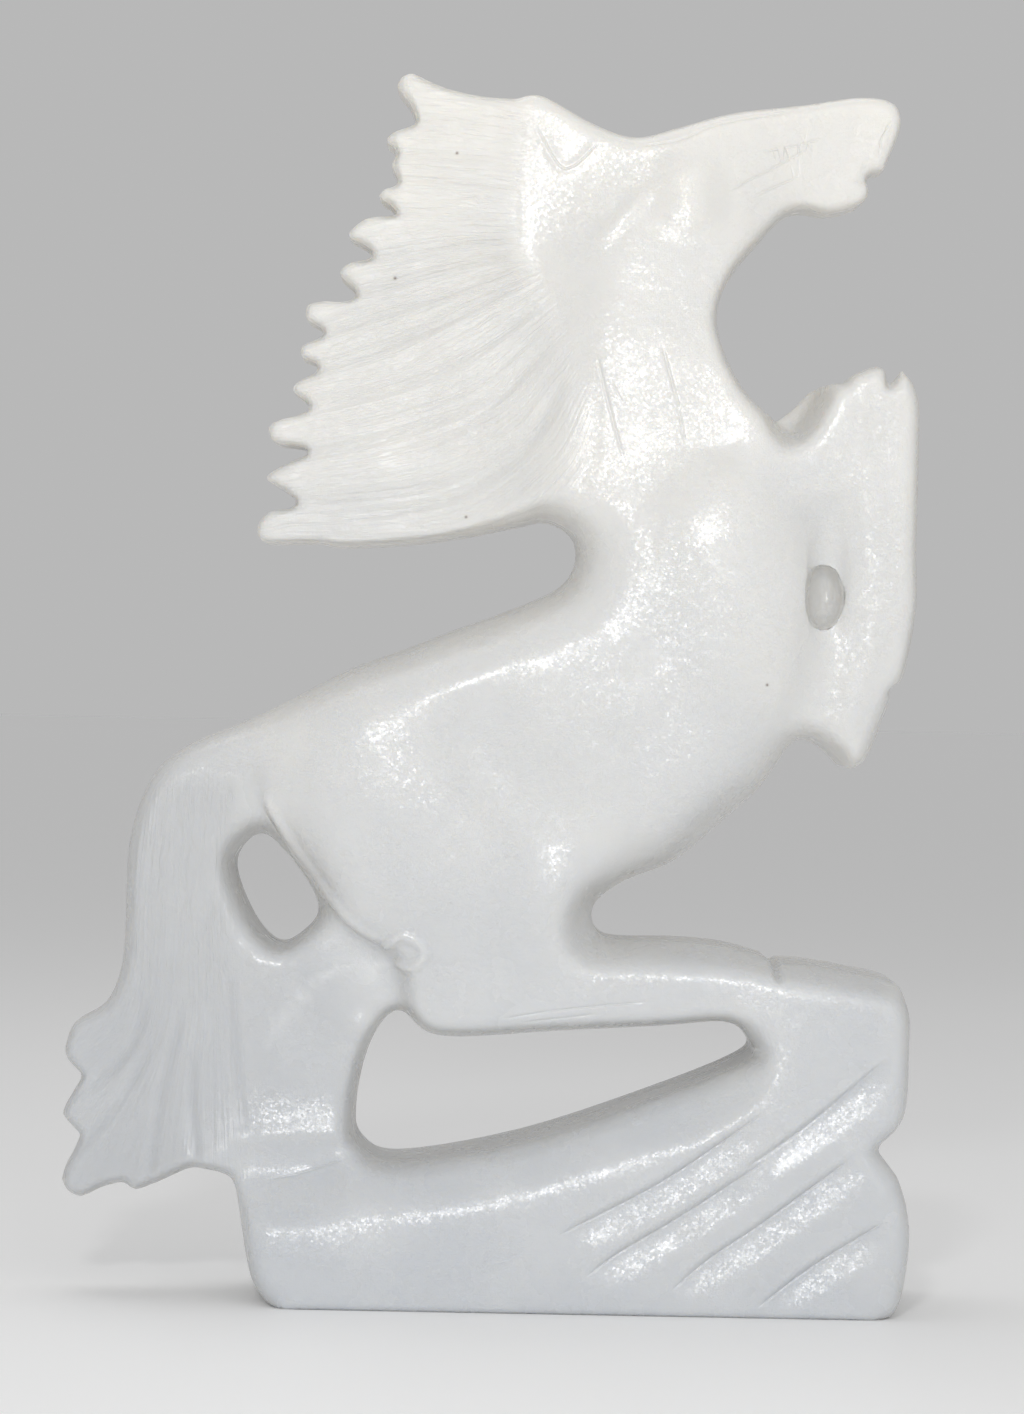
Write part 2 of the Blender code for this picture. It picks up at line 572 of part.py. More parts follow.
def centre_on_origin(mesh):
    """Put the middle of the carving's footprint over the origin."""
    points = np.empty(len(mesh.vertices) * 3)
    mesh.vertices.foreach_get("co", points)
    points = points.reshape(-1, 3)
    middle = (points.min(axis=0) + points.max(axis=0)) / 2
    points[:, :2] -= middle[:2]
    mesh.vertices.foreach_set("co", points.ravel())
    mesh.update()


def main():
    """Build the carving as one solid."""
    for obj in list(bpy.data.objects):
        bpy.data.objects.remove(obj)
    carving = collection("horse_carving")
    cutters = collection("cutters")

    halves = []
    near_leg = [FORE_HOOF, NEAR_CANNON, NEAR_KNEE]
    for name, foreleg, side in (("near_half", near_leg, -1), ("far_half", [FAR_FORELEG], 1)):
        half = sawn_half(name, carving, foreleg, side)
        tree = wall_tree(half.data)
        half = remesh(half, VOXEL)
        round_over(half, tree, side)
        halves.append(half)

    both = bmesh.new()
    for half in halves:
        both.from_mesh(half.data)
        bpy.data.objects.remove(half)
    mesh = bpy.data.meshes.new("horse_carving")
    both.to_mesh(mesh)
    both.free()
    horse = bpy.data.objects.new("horse_carving", mesh)
    carving.objects.link(horse)

    horse = remesh(horse, VOXEL)
    carve(horse)
    soften = horse.modifiers.new("soften", "SMOOTH")
    soften.iterations = SMOOTH_PASSES
    horse = replace_with_result(horse)

    thin = horse.modifiers.new("thin_out", "DECIMATE")
    horse.data.calc_loop_triangles()
    thin.ratio = TRIANGLES / len(horse.data.loop_triangles)
    foot = horse.modifiers.new("flat_foot", "BOOLEAN")
    foot.operation = "DIFFERENCE"
    foot.object = floor_cutter(cutters)
    horse = replace_with_result(horse)

    centre_on_origin(horse.data)
    horse.data.materials.clear()
    horse.data.materials.append(polished_stone())
    horse.data.shade_smooth()
    horse.data.set_sharp_from_angle(angle=SHARP_EDGE)


main()
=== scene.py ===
# %% [markdown]
# # A rearing horse carved from one slab of white stone
# The carving is a single stone. Its look comes from three things: a side view
# that was sawn out of a slab, soft rounding with grooves for the mane and tail,
# and a milky, polished surface that light enters and leaves again. This lesson
# builds them in that order. All lengths are in metres unless a name says
# otherwise, the horse faces +X and the camera looks along +Y.

# %% Start from the frame
from math import atan, cos, pi, radians, sin

import bpy
import numpy as np
from mathutils import Matrix, Vector


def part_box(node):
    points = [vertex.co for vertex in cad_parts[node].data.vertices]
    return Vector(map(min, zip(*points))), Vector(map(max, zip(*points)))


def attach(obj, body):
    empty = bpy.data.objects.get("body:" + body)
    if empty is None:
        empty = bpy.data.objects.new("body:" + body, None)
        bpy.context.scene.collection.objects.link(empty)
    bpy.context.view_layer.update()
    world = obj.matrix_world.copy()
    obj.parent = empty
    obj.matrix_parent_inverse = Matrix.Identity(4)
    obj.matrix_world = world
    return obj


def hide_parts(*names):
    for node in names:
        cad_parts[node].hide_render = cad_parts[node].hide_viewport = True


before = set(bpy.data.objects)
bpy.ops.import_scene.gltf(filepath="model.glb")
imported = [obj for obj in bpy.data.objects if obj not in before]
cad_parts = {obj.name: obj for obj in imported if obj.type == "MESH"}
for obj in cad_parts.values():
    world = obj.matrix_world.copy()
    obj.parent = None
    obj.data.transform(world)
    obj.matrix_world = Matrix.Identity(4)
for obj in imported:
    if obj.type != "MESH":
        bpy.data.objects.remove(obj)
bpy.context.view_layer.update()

STONE_NODE = "horse_carving"
LOW, HIGH = (np.array(corner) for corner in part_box(STONE_NODE))
HEIGHT = (HIGH - LOW)[2]
print("stone block", np.round(HIGH - LOW, 4))

# %% [markdown]
# ## The drawing grid
# A carver sticks a drawing of the side view on the slab. Ours has x to the right
# and y down, and leans a little, as the stone did in front of the camera. What
# stands nearer to the camera than the middle of the slab is drawn larger than it
# is, so `place` shrinks a point towards the middle of the view by its nearness.

# %% Grid units to metres
# The stone's height, and the point on the floor round which the view is turned level
GRID_HEIGHT = 1217
TURN_X = 581
TURN_Y = 1299
GRID_TILT = radians(1.1)
# The middle of the stone, along the floor from that point
MIDDLE_FROM_TURN = -99.5
# Where the eye looks, and how far from the middle of the slab it is
EYE_X = 512
EYE_Y = 707
VIEW_DISTANCE = 1.2
UNIT = HEIGHT / GRID_HEIGHT
MIDDLE_X = (LOW[0] + HIGH[0]) / 2
MM = 0.001


def place(x, y, nearer=0.0):
    """Shrink towards the eye, turn level, and scale: returns (x, z) in metres."""
    shrink = 1.0 - nearer / VIEW_DISTANCE
    right = EYE_X + (x - EYE_X) * shrink - TURN_X
    up = TURN_Y - EYE_Y - (y - EYE_Y) * shrink
    level_x = right * cos(GRID_TILT) - up * sin(GRID_TILT) - MIDDLE_FROM_TURN
    level_z = right * sin(GRID_TILT) + up * cos(GRID_TILT)
    return level_x * UNIT + MIDDLE_X, level_z * UNIT


print("middle of the view", np.round(place(EYE_X, EYE_Y), 4))

# %% [markdown]
# ## The side view
# The outline is the most telling part of a silhouette carving. It is drawn as
# strokes, each smooth in itself, that meet at sharp corners: the notches between
# the locks of the mane, the mouth, the nicks at the knee and the hoof. A few
# points per stroke are enough, because a curve runs through them.

# %% Strokes of the outline, clockwise from the poll
MANE_LOCKS = [
    [(516, 99), (480, 96), (446, 88), (425, 79), (411, 73), (399, 80), (399, 96), (415, 117)],
    [(415, 117), (413, 125), (396, 131), (384.5, 141), (388, 151), (396, 153)],
    [(396, 153), (391.5, 165), (392, 173), (397, 180)],
    [(397, 180), (394, 187), (383, 189), (379, 197), (382, 206), (396, 214)],
    [(396, 214), (367, 218), (348, 234), (352, 244), (374, 255)],
    [(374, 255), (350, 262), (339, 273), (344, 284), (355, 293)],
    [(355, 293), (345, 299), (311, 303), (305, 313), (309, 325), (324, 332)],
    [(324, 332), (302, 345), (300, 352), (303, 362), (318, 367)],
    [(318, 367), (301, 379), (292, 388), (296, 396), (308, 405)],
    [(308, 405), (300, 413), (274, 422), (268, 431), (278, 446), (308, 451)],
    [(308, 451), (278, 468), (264, 478), (272, 484), (290, 495), (295, 502)],
    [(295, 502), (288, 507), (268, 512), (256, 529), (262, 541), (275, 546),
     (320, 545), (342, 549), (400, 547), (458, 540), (523, 527)],
]
BACK = [(523, 527), (542, 523), (560, 529), (573, 542), (575, 562), (565, 582), (545, 596),
        (500, 614), (450, 632), (400, 651), (350, 669), (300, 695), (248, 720), (190, 744),
        (152, 777), (130, 841), (126, 918), (122, 965), (107, 1001), (77, 1020),
        (67, 1040), (66, 1056), (83, 1075)]
TAIL_LOCKS = [
    [(83, 1075), (65, 1106), (65, 1117), (81, 1134)],
    [(81, 1134), (63, 1172), (66, 1188), (81, 1196), (104, 1186), (125, 1181)],
    [(125, 1181), (132, 1188), (145, 1187), (190, 1167)],
]
BASE_LEFT = [(190, 1167), (222, 1173), (235, 1188), (246, 1255), (254, 1284), (272, 1307)]
BELOW_FLOOR = [[(272, 1307), (286, 1350)], [(286, 1350), (864, 1362)], [(864, 1362), (881, 1322)]]
BASE_RIGHT = [(881, 1322), (897, 1308), (906, 1272), (909, 1227), (900, 1185), (876, 1149)]
HIND_HOOF = [(876, 1149), (904, 1116), (909, 1051), (908, 1010), (889, 977), (835, 963),
             (789, 956), (774, 956)]
SHANK = [(774, 956), (724, 941), (674, 936), (616, 935), (597, 929), (591, 915), (598, 899),
         (625, 880), (674, 860), (720, 822), (760, 786), (788, 746), (806, 740), (826, 753),
         (838, 766), (850, 770)]
FORE_HOOF = [(850, 770), (866, 758), (883, 717), (892.5, 692)]
NEAR_CANNON = [(892.5, 692), (904, 672), (916, 609), (916, 555), (918, 480), (919, 408),
               (910, 380), (898, 374), (891, 383)]
NEAR_KNEE = [(891, 383), (880, 367), (856, 373), (842, 384)]
FAR_KNEE = [(842, 384), (826, 384), (811, 391), (793, 409), (776, 421)]
FAR_FORELEG = [(850, 770), (866, 740), (876, 690), (880, 600), (878, 480), (872, 410),
               (858, 388), (826, 384), (811, 391), (793, 409), (776, 421)]
THROAT = [(776, 421), (744, 391), (721, 344), (717, 312), (728, 281), (755, 248), (780, 221),
          (800, 215), (824, 219), (849, 213), (863, 204), (869, 190), (865, 182), (867, 178)]
MUZZLE = [(867, 178), (879, 177), (888, 160), (900, 129), (899, 111), (887, 101), (858, 98),
          (801, 106), (732, 114), (676, 129), (635, 138), (595, 125), (549, 99), (532, 95),
          (516, 99)]
TAIL_HOLE = [(238, 856), (255, 835), (273, 838), (305, 876), (319, 908), (305, 929), (282, 940),
             (260, 921), (242, 884)]
LEG_OPENING = [(402, 1010), (440, 1035), (560, 1030), (663, 1025), (722, 1021), (744, 1033),
               (738, 1050), (655, 1084), (521, 1128), (399, 1149), (362, 1134), (356, 1108),
               (364, 1060), (380, 1024)]
SHARED = MANE_LOCKS + [BACK] + TAIL_LOCKS + [BASE_LEFT] + BELOW_FLOOR
SHARED += [BASE_RIGHT, HIND_HOOF, SHANK]
NEAR_OUTLINE = SHARED + [FORE_HOOF, NEAR_CANNON, NEAR_KNEE, FAR_KNEE, THROAT, MUZZLE]
FAR_OUTLINE = SHARED + [FAR_FORELEG, THROAT, MUZZLE]
print("strokes near", len(NEAR_OUTLINE), "far", len(FAR_OUTLINE))

# %% [markdown]
# ## How thick each form is
# The slab is left at full thickness at the body and the base and thinned for the
# head, the mane and the tail. Each landmark gives a half thickness, the distance
# over which the form is rounded down to its edge, and the half width of the wall
# that stays there. Between landmarks the nearest ones count most.

# %% Thickness landmarks in millimetres: x, y, half, rounding, rim
FORMS_MM = [
    (560, 140, 13, 4.5, 7), (640, 165, 14.5, 4, 7), (690, 190, 17.5, 4, 8),
    (765, 165, 14.5, 3.5, 7), (820, 150, 11, 3, 5), (870, 150, 10.5, 2.5, 6),
    (840, 205, 10.5, 2.5, 6), (410, 90, 10.5, 2, 8.5), (390, 200, 10.5, 2, 8.5),
    (320, 320, 10.5, 2, 8.5), (280, 430, 10.5, 2, 8.5), (280, 530, 10.5, 2, 8.5),
    (460, 140, 12.5, 2.5, 9), (450, 260, 12.5, 2.5, 9), (400, 400, 12.5, 2.5, 9),
    (400, 500, 12.5, 2.5, 9), (490, 470, 15, 3, 9), (510, 360, 15, 3, 9),
    (540, 240, 13.5, 5, 6), (640, 270, 21, 5, 9), (700, 270, 20, 3, 13),
    (620, 360, 24, 5, 9), (600, 460, 24, 5, 8.5), (595, 530, 27, 19, 8.5),
    (690, 390, 24, 3.5, 15), (730, 540, 30, 18, 4), (640, 580, 30, 20, 3),
    (760, 680, 30, 18, 4), (830, 450, 25, 6, 14),
    (885, 400, 24, 3.5, 16), (885, 520, 25, 4, 16), (880, 640, 25, 4, 16),
    (850, 730, 24, 6, 12), (560, 650, 31, 20, 3), (600, 760, 31, 20, 3),
    (690, 780, 31, 20, 3), (450, 700, 31, 20, 3), (330, 760, 31.5, 20, 3),
    (400, 860, 31.5, 18, 3), (500, 900, 31.5, 16, 4), (440, 980, 29, 5, 12),
    (560, 980, 28.5, 5, 14), (700, 980, 28.5, 5, 14), (830, 1010, 31, 6, 18),
    (850, 1090, 31, 6, 24), (230, 770, 20, 8, 5), (180, 860, 19, 6, 8),
    (190, 1000, 19, 6, 8), (90, 1050, 12, 3, 8), (100, 1160, 12, 3, 8),
    (190, 1120, 19, 4, 10), (310, 1000, 20, 6, 8), (310, 1120, 20, 5, 10),
    (235, 1250, 33, 8, 22), (300, 1230, 33, 8, 22), (280, 1290, 33, 6.5, 26),
    (450, 1200, 33, 6, 20), (450, 1290, 33, 6.5, 26), (600, 1160, 33, 6, 20),
    (620, 1290, 33, 6.5, 26),
    (740, 1110, 33, 6, 20), (800, 1180, 33, 6.5, 26), (850, 1280, 33, 6.5, 26),
]
REACH = 12 * MM


def blend_forms(across, up):
    """Weight of a landmark: exp(-distance^2 / 2 REACH^2); returns the weighted means."""
    total = np.zeros((3,) + np.shape(across))
    weights = np.zeros(np.shape(across))
    for x, y, *sizes in FORMS_MM:
        at_x, at_z = place(x, y, sizes[0] * MM)
        weight = np.exp(-((across - at_x) ** 2 + (up - at_z) ** 2) / (2 * REACH ** 2))
        total += weight * np.reshape(sizes, (3,) + (1,) * np.ndim(across)) * MM
        weights += weight
    return total / weights


def place_on_form(x, y, column):
    """Place a grid point that is seen on the near face (column 0) or the rim (2)."""
    nearer = blend_forms(*place(x, y))[column]
    return place(x, y, nearer)


print("half thickness at the haunch", np.round(blend_forms(*place(400, 860)), 4))

# %% [markdown]
# ## Smooth strokes
# A Catmull-Rom curve runs through every point it is given and leaves each one
# along the chord of its neighbours, so a stroke needs no handles. The same
# function draws the outline, the holes and every groove.

# %% Curve through points, and the closed outline
def smooth_stroke(points, steps, closed=False):
    """Cubic p(t) = p1 + t(p2-p0)/2 + t^2(...) + t^3(...) on each stretch, sampled at steps."""
    points = np.asarray(points, float)
    if closed:
        before, start = np.roll(points, 1, 0), points
        end, after = np.roll(points, -1, 0), np.roll(points, -2, 0)
    else:
        start, end = points[:-1], points[1:]
        before = np.vstack([2 * points[:1] - points[1:2], points[:-2]])
        after = np.vstack([points[2:], 2 * points[-1:] - points[-2:-1]])
    share = np.arange(steps)[:, None, None] / steps
    curve = (start + 0.5 * share * (end - before)
             + share ** 2 * (before - 2.5 * start + 2 * end - 0.5 * after)
             + 0.5 * share ** 3 * (3 * start - before - 3 * end + after))
    curve = curve.transpose(1, 0, 2).reshape(-1, 2)
    return curve if closed else np.vstack([curve, points[-1:]])


OUTLINE_STEPS = 5
WALL_TURN = 4


def place_edges(points):
    """A wall shows its near edge where it faces away from the eye, else its far edge.

    Between the two the edge goes over with WALL_TURN times the cosine of the turn.
    """
    points = np.asarray(points, float)
    along = np.gradient(points, axis=0)
    outward = np.stack([-along[:, 1], along[:, 0]], 1)
    outward /= np.linalg.norm(outward, axis=1)[:, None]
    away = points - (EYE_X, EYE_Y)
    facing = (outward * away).sum(1) / np.linalg.norm(away, axis=1)
    rims = [blend_forms(*place(x, y))[2] for x, y in points]
    return [place(x, y, rim * min(max(WALL_TURN * turn, -1), 1))
            for (x, y), rim, turn in zip(points, rims, facing)]


def closed_outline(strokes):
    """Join smooth strokes into one loop with a corner where two strokes meet."""
    return np.vstack([place_edges(smooth_stroke(stroke, OUTLINE_STEPS))[:-1] for stroke in strokes])


HOLES = [np.array(place_edges(smooth_stroke(hole, OUTLINE_STEPS, closed=True)))
         for hole in (TAIL_HOLE, LEG_OPENING)]
near_loop = closed_outline(NEAR_OUTLINE)
far_loop = closed_outline(FAR_OUTLINE)
print("outline points", len(near_loop), len(far_loop))

# %% [markdown]
# ## How deep inside the outline a point lies
# Rounding a slab means lowering it near its edge, so every point of the side view
# needs its distance to the outline: positive inside, negative outside. A loop over
# the outline's short segments works on the whole grid of points at once.

# %% Distance to the outline on a grid
CELL = 1.0 * MM
MARGIN = 4 * CELL
xs = np.arange(LOW[0] - MARGIN, HIGH[0] + MARGIN, CELL)
zs = np.arange(-MARGIN, HIGH[2] + MARGIN, CELL)
ys = np.arange(LOW[1] - MARGIN, HIGH[1] + MARGIN, CELL)
GRID_X_M, GRID_Z_M = np.meshgrid(xs, zs, indexing="ij")


def inset(loops):
    """Smallest distance to any segment, with the sign of the crossing rule."""
    nearest = np.full(GRID_X_M.shape, np.inf)
    inside = np.zeros(GRID_X_M.shape, bool)
    for loop in loops:
        for (x0, z0), (x1, z1) in zip(loop, np.roll(loop, -1, 0)):
            run_x, run_z = x1 - x0, z1 - z0
            length = run_x ** 2 + run_z ** 2
            if length == 0.0:
                continue
            away_x, away_z = GRID_X_M - x0, GRID_Z_M - z0
            share = np.clip((away_x * run_x + away_z * run_z) / length, 0.0, 1.0)
            distance = (away_x - share * run_x) ** 2 + (away_z - share * run_z) ** 2
            np.minimum(nearest, distance, out=nearest)
            if z0 != z1:
                crosses = (z0 > GRID_Z_M) != (z1 > GRID_Z_M)
                inside ^= crosses & (away_x < run_x * away_z / run_z)
    return np.where(inside, 1.0, -1.0) * np.sqrt(nearest)


near_inset = inset([near_loop] + HOLES)
far_inset = inset([far_loop] + HOLES)
print("grid", near_inset.shape, "deepest point", round(float(near_inset.max()), 4))

# %% [markdown]
# ## Grooves, steps and swells
# A groove is cut along a line. Its section is half a cosine wave, and it fades
# out at its ends, as a carver lifts the tool. A step has one short side and one
# long side. A swell is a mark that is raised. Each kind has one set of sizes.

# %% Tool marks: depth, reach left and right of the line, fade (mm)
MARK_KINDS = {
    "mane groove": (0.75, 2.6, 2.6, 9), "fine groove": (0.35, 1.8, 1.8, 7),
    "tail groove": (0.7, 2.2, 2.2, 9), "base groove": (1.4, 1.6, 8.0, 14),
    "hoof line": (1.2, 1.8, 1.8, 3), "flank step": (2.2, 24.0, 14.0, 16),
    "mane step": (0.4, 3.0, 9.0, 8), "leg valley": (2.4, 11.0, 11.0, 8),
    "ear ridge": (-0.25, 2.0, 2.0, 3), "jaw ridge": (-0.55, 3.2, 3.2, 11),
    "tendon": (-0.9, 1.8, 1.8, 6), "hock ring": (-1.0, 1.8, 1.8, 0),
    "cheek swell": (-1.6, 11.0, 11.0, 0), "shoulder swell": (-1.5, 22.0, 22.0, 0),
    "haunch swell": (-1.5, 28.0, 28.0, 0),
}
MANE_GROOVES = [
    [(500, 128), (455, 122), (415, 119), (385, 112)],
    [(504, 160), (450, 156), (396, 153), (366, 152)],
    [(506, 190), (455, 184), (397, 180), (367, 180)],
    [(508, 220), (455, 216), (396, 214), (366, 217)],
    [(511, 240), (445, 244), (374, 256), (345, 262)],
    [(514, 255), (450, 268), (355, 294), (326, 304)],
    [(518, 268), (440, 296), (324, 333), (296, 344)],
    [(524, 282), (458, 313), (393, 345), (318, 369), (290, 378)],
    [(540, 305), (470, 352), (400, 384), (308, 406), (280, 413)],
    [(556, 338), (490, 398), (393, 434), (308, 452), (280, 459)],
    [(566, 380), (523, 438), (441, 484), (295, 502), (266, 506)],
]
MANE_ROOT = [(520, 104), (514, 170), (512, 250)]
TAIL_GROOVES = [
    [(147, 1000), (131, 1049), (95, 1086), (70, 1102)],
    [(155, 1040), (118, 1104), (82, 1147), (66, 1160)],
    [(186, 1000), (170, 1058), (159, 1104), (146, 1190)],
    [(195, 1050), (193, 1099), (195, 1180)],
    [(231, 970), (235, 1036), (243, 1140)],
]
BASE_GROOVES = [
    [(558, 1236), (664, 1181), (765, 1112)],
    [(586, 1277), (618, 1254), (687, 1213), (765, 1162)],
    [(671, 1291), (710, 1259), (765, 1222), (860, 1152)],
    [(756, 1309), (811, 1268), (885, 1222)],
    [(742, 1171), (802, 1130), (895, 1058)],
]
EAR = [(536, 126), (559, 165), (572, 167), (585, 157), (599, 142)]
FLAT_LOCKS = 4
MARKS = [("fine groove", line) for line in MANE_GROOVES[:FLAT_LOCKS]]
MARKS += [("mane groove", line) for line in MANE_GROOVES[FLAT_LOCKS:]]
MARKS += [("tail groove", line) for line in TAIL_GROOVES]
MARKS += [("mane step", MANE_ROOT)]
MARKS += [("base groove", line) for line in BASE_GROOVES]
MARKS += [
    ("ear ridge", EAR),
    ("jaw ridge", [(590, 254), (625, 215), (660, 180)]),
    ("cheek swell", [(690, 180), (690, 205)]),
    ("fine groove", [(500, 300), (430, 330), (370, 350)]),
    ("fine groove", [(545, 330), (480, 385), (400, 415), (340, 428)]),
    ("mane groove", [(560, 400), (510, 462), (440, 500), (340, 520)]),
    ("fine groove", [(540, 360), (470, 425), (380, 462)]),
    ("flank step", [(450, 690), (480, 760), (530, 820), (570, 880)]),
    ("tendon", [(262, 790), (290, 843), (335, 905), (360, 928), (390, 944)]),
    ("leg valley", [(826, 490), (832, 560), (828, 650), (806, 735)]),
    ("haunch swell", [(390, 790), (440, 870)]),
    ("shoulder swell", [(720, 540), (740, 650)]),
    ("hock ring", [(388, 945), (402, 936), (420, 944), (424, 956), (412, 968), (400, 964)]),
    ("hoof line", [(774, 940), (780, 985)]),
    ("hoof line", [(910, 686), (888, 696)]),
    ("hoof line", [(893, 370), (889, 392)]),
]
LINE_STEPS = 6


def follow(corners, across, up):
    """Signed way aside from a line (left is positive), way to its end, and way past it."""
    lengths = np.hypot(*(corners[1:] - corners[:-1]).T)
    nearest = np.full(across.shape, np.inf)
    aside = np.zeros(across.shape)
    to_end = np.zeros(across.shape)
    beyond = np.zeros(across.shape)
    walked = 0.0
    for start, end, length in zip(corners[:-1], corners[1:], lengths):
        run_x, run_z = (end - start) / length
        away_x, away_z = across - start[0], up - start[1]
        ahead = away_x * run_x + away_z * run_z
        along = np.clip(ahead, 0.0, length)
        square = run_x * away_z - run_z * away_x
        distance = np.hypot(away_x - along * run_x, away_z - along * run_z)
        left_over = np.minimum(walked + along, lengths.sum() - walked - along)
        at_end = left_over <= 0.0
        closer = distance < nearest
        aside[closer] = np.where(at_end, square, np.copysign(distance, square))[closer]
        to_end[closer] = left_over[closer]
        beyond[closer] = np.where(at_end, np.abs(ahead - along), 0.0)[closer]
        nearest[closer] = distance[closer]
        walked += length
    return aside, to_end, beyond


def mark_depth(kind, line, across, up):
    """depth * (1 + cos(pi * distance / reach)) / 2, faded by a quarter sine at the ends."""
    depth, left, right, fade = MARK_KINDS[kind]
    corners = smooth_stroke([place_on_form(x, y, 0) for x, y in line], LINE_STEPS)
    aside, to_end, beyond = follow(corners, across, up)
    reach = np.where(aside > 0.0, left, right) * MM
    bell = 0.5 * (1.0 + np.cos(pi * np.clip(np.hypot(aside, beyond) / reach, 0.0, 1.0)))
    if fade:
        bell *= np.sin(0.5 * pi * np.clip(to_end / (fade * MM), 0.0, 1.0))
    return depth * MM * bell


print("marks", len(MARKS))

# %% [markdown]
# ## Edges between planes
# Some forms meet in a clear edge: the haunch stands over the web of the tail, and
# the tops of the hind leg and the base are cut down as slopes. Along such a line
# the thickness is held below a limit that falls or climbs away from it.

# %% Edge lines: half thickness there, slopes left and right, reach, fade (mm), line
EDGES_MM = [
    (21, 0.0, 3.0, 14, 6, [(402, 1015), (398, 968), (385, 952), (352, 932), (328, 909),
                           (300, 873), (278, 839), (262, 800), (254, 765)]),
    (28.8, -1.7, 1.5, 10, 3, [(612, 876), (585, 892), (567, 915), (563, 940), (584, 966),
                              (640, 969), (700, 970), (760, 974), (800, 981), (860, 988),
                              (905, 1000)]),
    (33, -0.75, 1.0, 17, 3, [(215, 1227), (300, 1224), (353, 1220), (445, 1208), (521, 1193),
                             (598, 1170), (682, 1146), (745, 1118), (775, 1085), (783, 1050),
                             (775, 1020), (750, 1004)]),
    (33, -1.15, 1.0, 12, 3, [(205, 1227), (300, 1224), (350, 1221)]),
    (28, -0.4, 0.4, 9, 5, [(630, 466), (655, 478), (700, 481), (745, 474), (775, 458)]),
]
NEAR_EDGES_MM = [(24, -6.0, 1.0, 6, 4, [(785, 449), (803, 439), (818, 422), (830, 399),
                                        (842, 385)])]
EASE = 1.5


def limit_by_edges(half, across, up, edges):
    """Lowest of half and every edge's at + slope * distance, eased past its reach and ends."""
    for at, left, right, reach, fade, line in edges:
        corners = smooth_stroke([place(x, y, at * MM) for x, y in line], LINE_STEPS)
        aside, to_end, beyond = follow(corners, across, up)
        slope = np.where(aside > 0.0, left * np.clip(to_end / (fade * MM), 0.0, 1.0), right)
        past = np.maximum(np.abs(aside) - reach * MM, 0.0)
        limit = at * MM + slope * np.abs(aside) + (EASE + np.abs(slope)) * past + EASE * beyond
        half = np.minimum(half, limit)
    return half


print("edges", len(EDGES_MM))

# %% [markdown]
# ## The stone as a field of inside and outside
# Each point of space gets a number: below zero in the stone, above zero in the
# air. In the side view `rounded` runs from 1 at the edge to 0 where the face is
# flat. Across the slab it is the share of the half thickness that is used up.
# Where the two together, as the sides of a right angle, come to 1, the surface
# lies: a quarter of an ellipse that turns the flat face into the rim.

# %% Fill the field, one sheet of points at a time
# Pockets: middle, half width and height (mm), depth (mm), power; their upright side
POCKETS = [(822, 597, 3.2, 6.8, 4.0, 8), (827, 580, 6.0, 18, 2.6, 2)]
POCKET_NEARER = 22 * MM
POCKET_LEFT = place(809, 597, POCKET_NEARER)[0]
# Depth over which the near and the far outline meet, and the thinnest half thickness
MEET = 8 * MM
LEAST = 2.5 * MM
# How round an edge is, and how much of the half thickness its upright wall may take
PROFILE = 1.5
MOST_WALL = 0.9
# Passes of wear everywhere and on the base, and where the base begins
WEAR = 4
BASE_WEAR = 10
BASE_TOP_Y = 1130
BASE_FADE = 6 * MM


def soften(values, passes):
    """Weights 1, 2, 1 along both directions of the grid, so many times."""
    for _ in range(passes):
        for axis in (0, 1):
            padded = np.concatenate([values.take([0], axis), values, values.take([-1], axis)], axis)
            inner = values.shape[axis]
            ahead, here, behind = (padded.take(range(k, k + inner), axis) for k in (2, 1, 0))
            values = 0.25 * (ahead + 2 * here + behind)
    return values


half, rounding, rim = blend_forms(GRID_X_M, GRID_Z_M)
base_share = np.clip((place(EYE_X, BASE_TOP_Y)[1] - GRID_Z_M) / BASE_FADE, 0.0, 1.0)


def worn(limited):
    """Edges softened a little, and the base's edges more."""
    crisp = soften(np.maximum(limited, LEAST), WEAR)
    return crisp + base_share * (soften(crisp, BASE_WEAR) - crisp)


far_half = worn(limit_by_edges(half, GRID_X_M, GRID_Z_M, EDGES_MM))
near_half = worn(limit_by_edges(half, GRID_X_M, GRID_Z_M, EDGES_MM + NEAR_EDGES_MM))


def pocket_share(pocket, across, up):
    """(1 - radius ^ power) ^ 2 in an ellipse, cut off on the left by an upright side."""
    x, y, wide, high, _, power = pocket
    middle_x, middle_z = place(x, y, POCKET_NEARER)
    radius = np.hypot((across - middle_x) / wide, (up - middle_z) / high) / MM
    right = np.clip((across - POCKET_LEFT) / MM, 0.0, 1.0)
    return right * np.clip(1.0 - radius ** power, 0.0, 1.0) ** 2


for pocket in POCKETS:
    dip = pocket[4] * MM * pocket_share(pocket, GRID_X_M, GRID_Z_M)
    near_half, far_half = near_half - dip, far_half - dip


def stone_field():
    """max(length(rounded, thick) - 1, foot) for every (x, y, z), scaled to metres."""
    field = np.empty((len(xs), len(ys), len(zs)), np.float32)
    for index, y in enumerate(ys):
        turn = 0.5 + 0.5 * sin(pi / 2 * np.clip(y / MEET, -1.0, 1.0))
        depth = near_inset * (1.0 - turn) + far_inset * turn
        rounded = np.maximum(1.0 - depth / rounding, 0.0) ** PROFILE
        half = near_half * (1.0 - turn) + far_half * turn
        wall = np.minimum(rim, MOST_WALL * half)
        thick = np.maximum(abs(y) - wall, 0.0) / (half - wall)
        field[:, index] = (np.hypot(rounded, thick) - 1.0) * np.minimum(rounding, half - wall)
    return np.maximum(field, -zs[None, None, :].astype(np.float32))


field = stone_field()
print("field", field.shape, "share of stone", round(float((field < 0).mean()), 3))

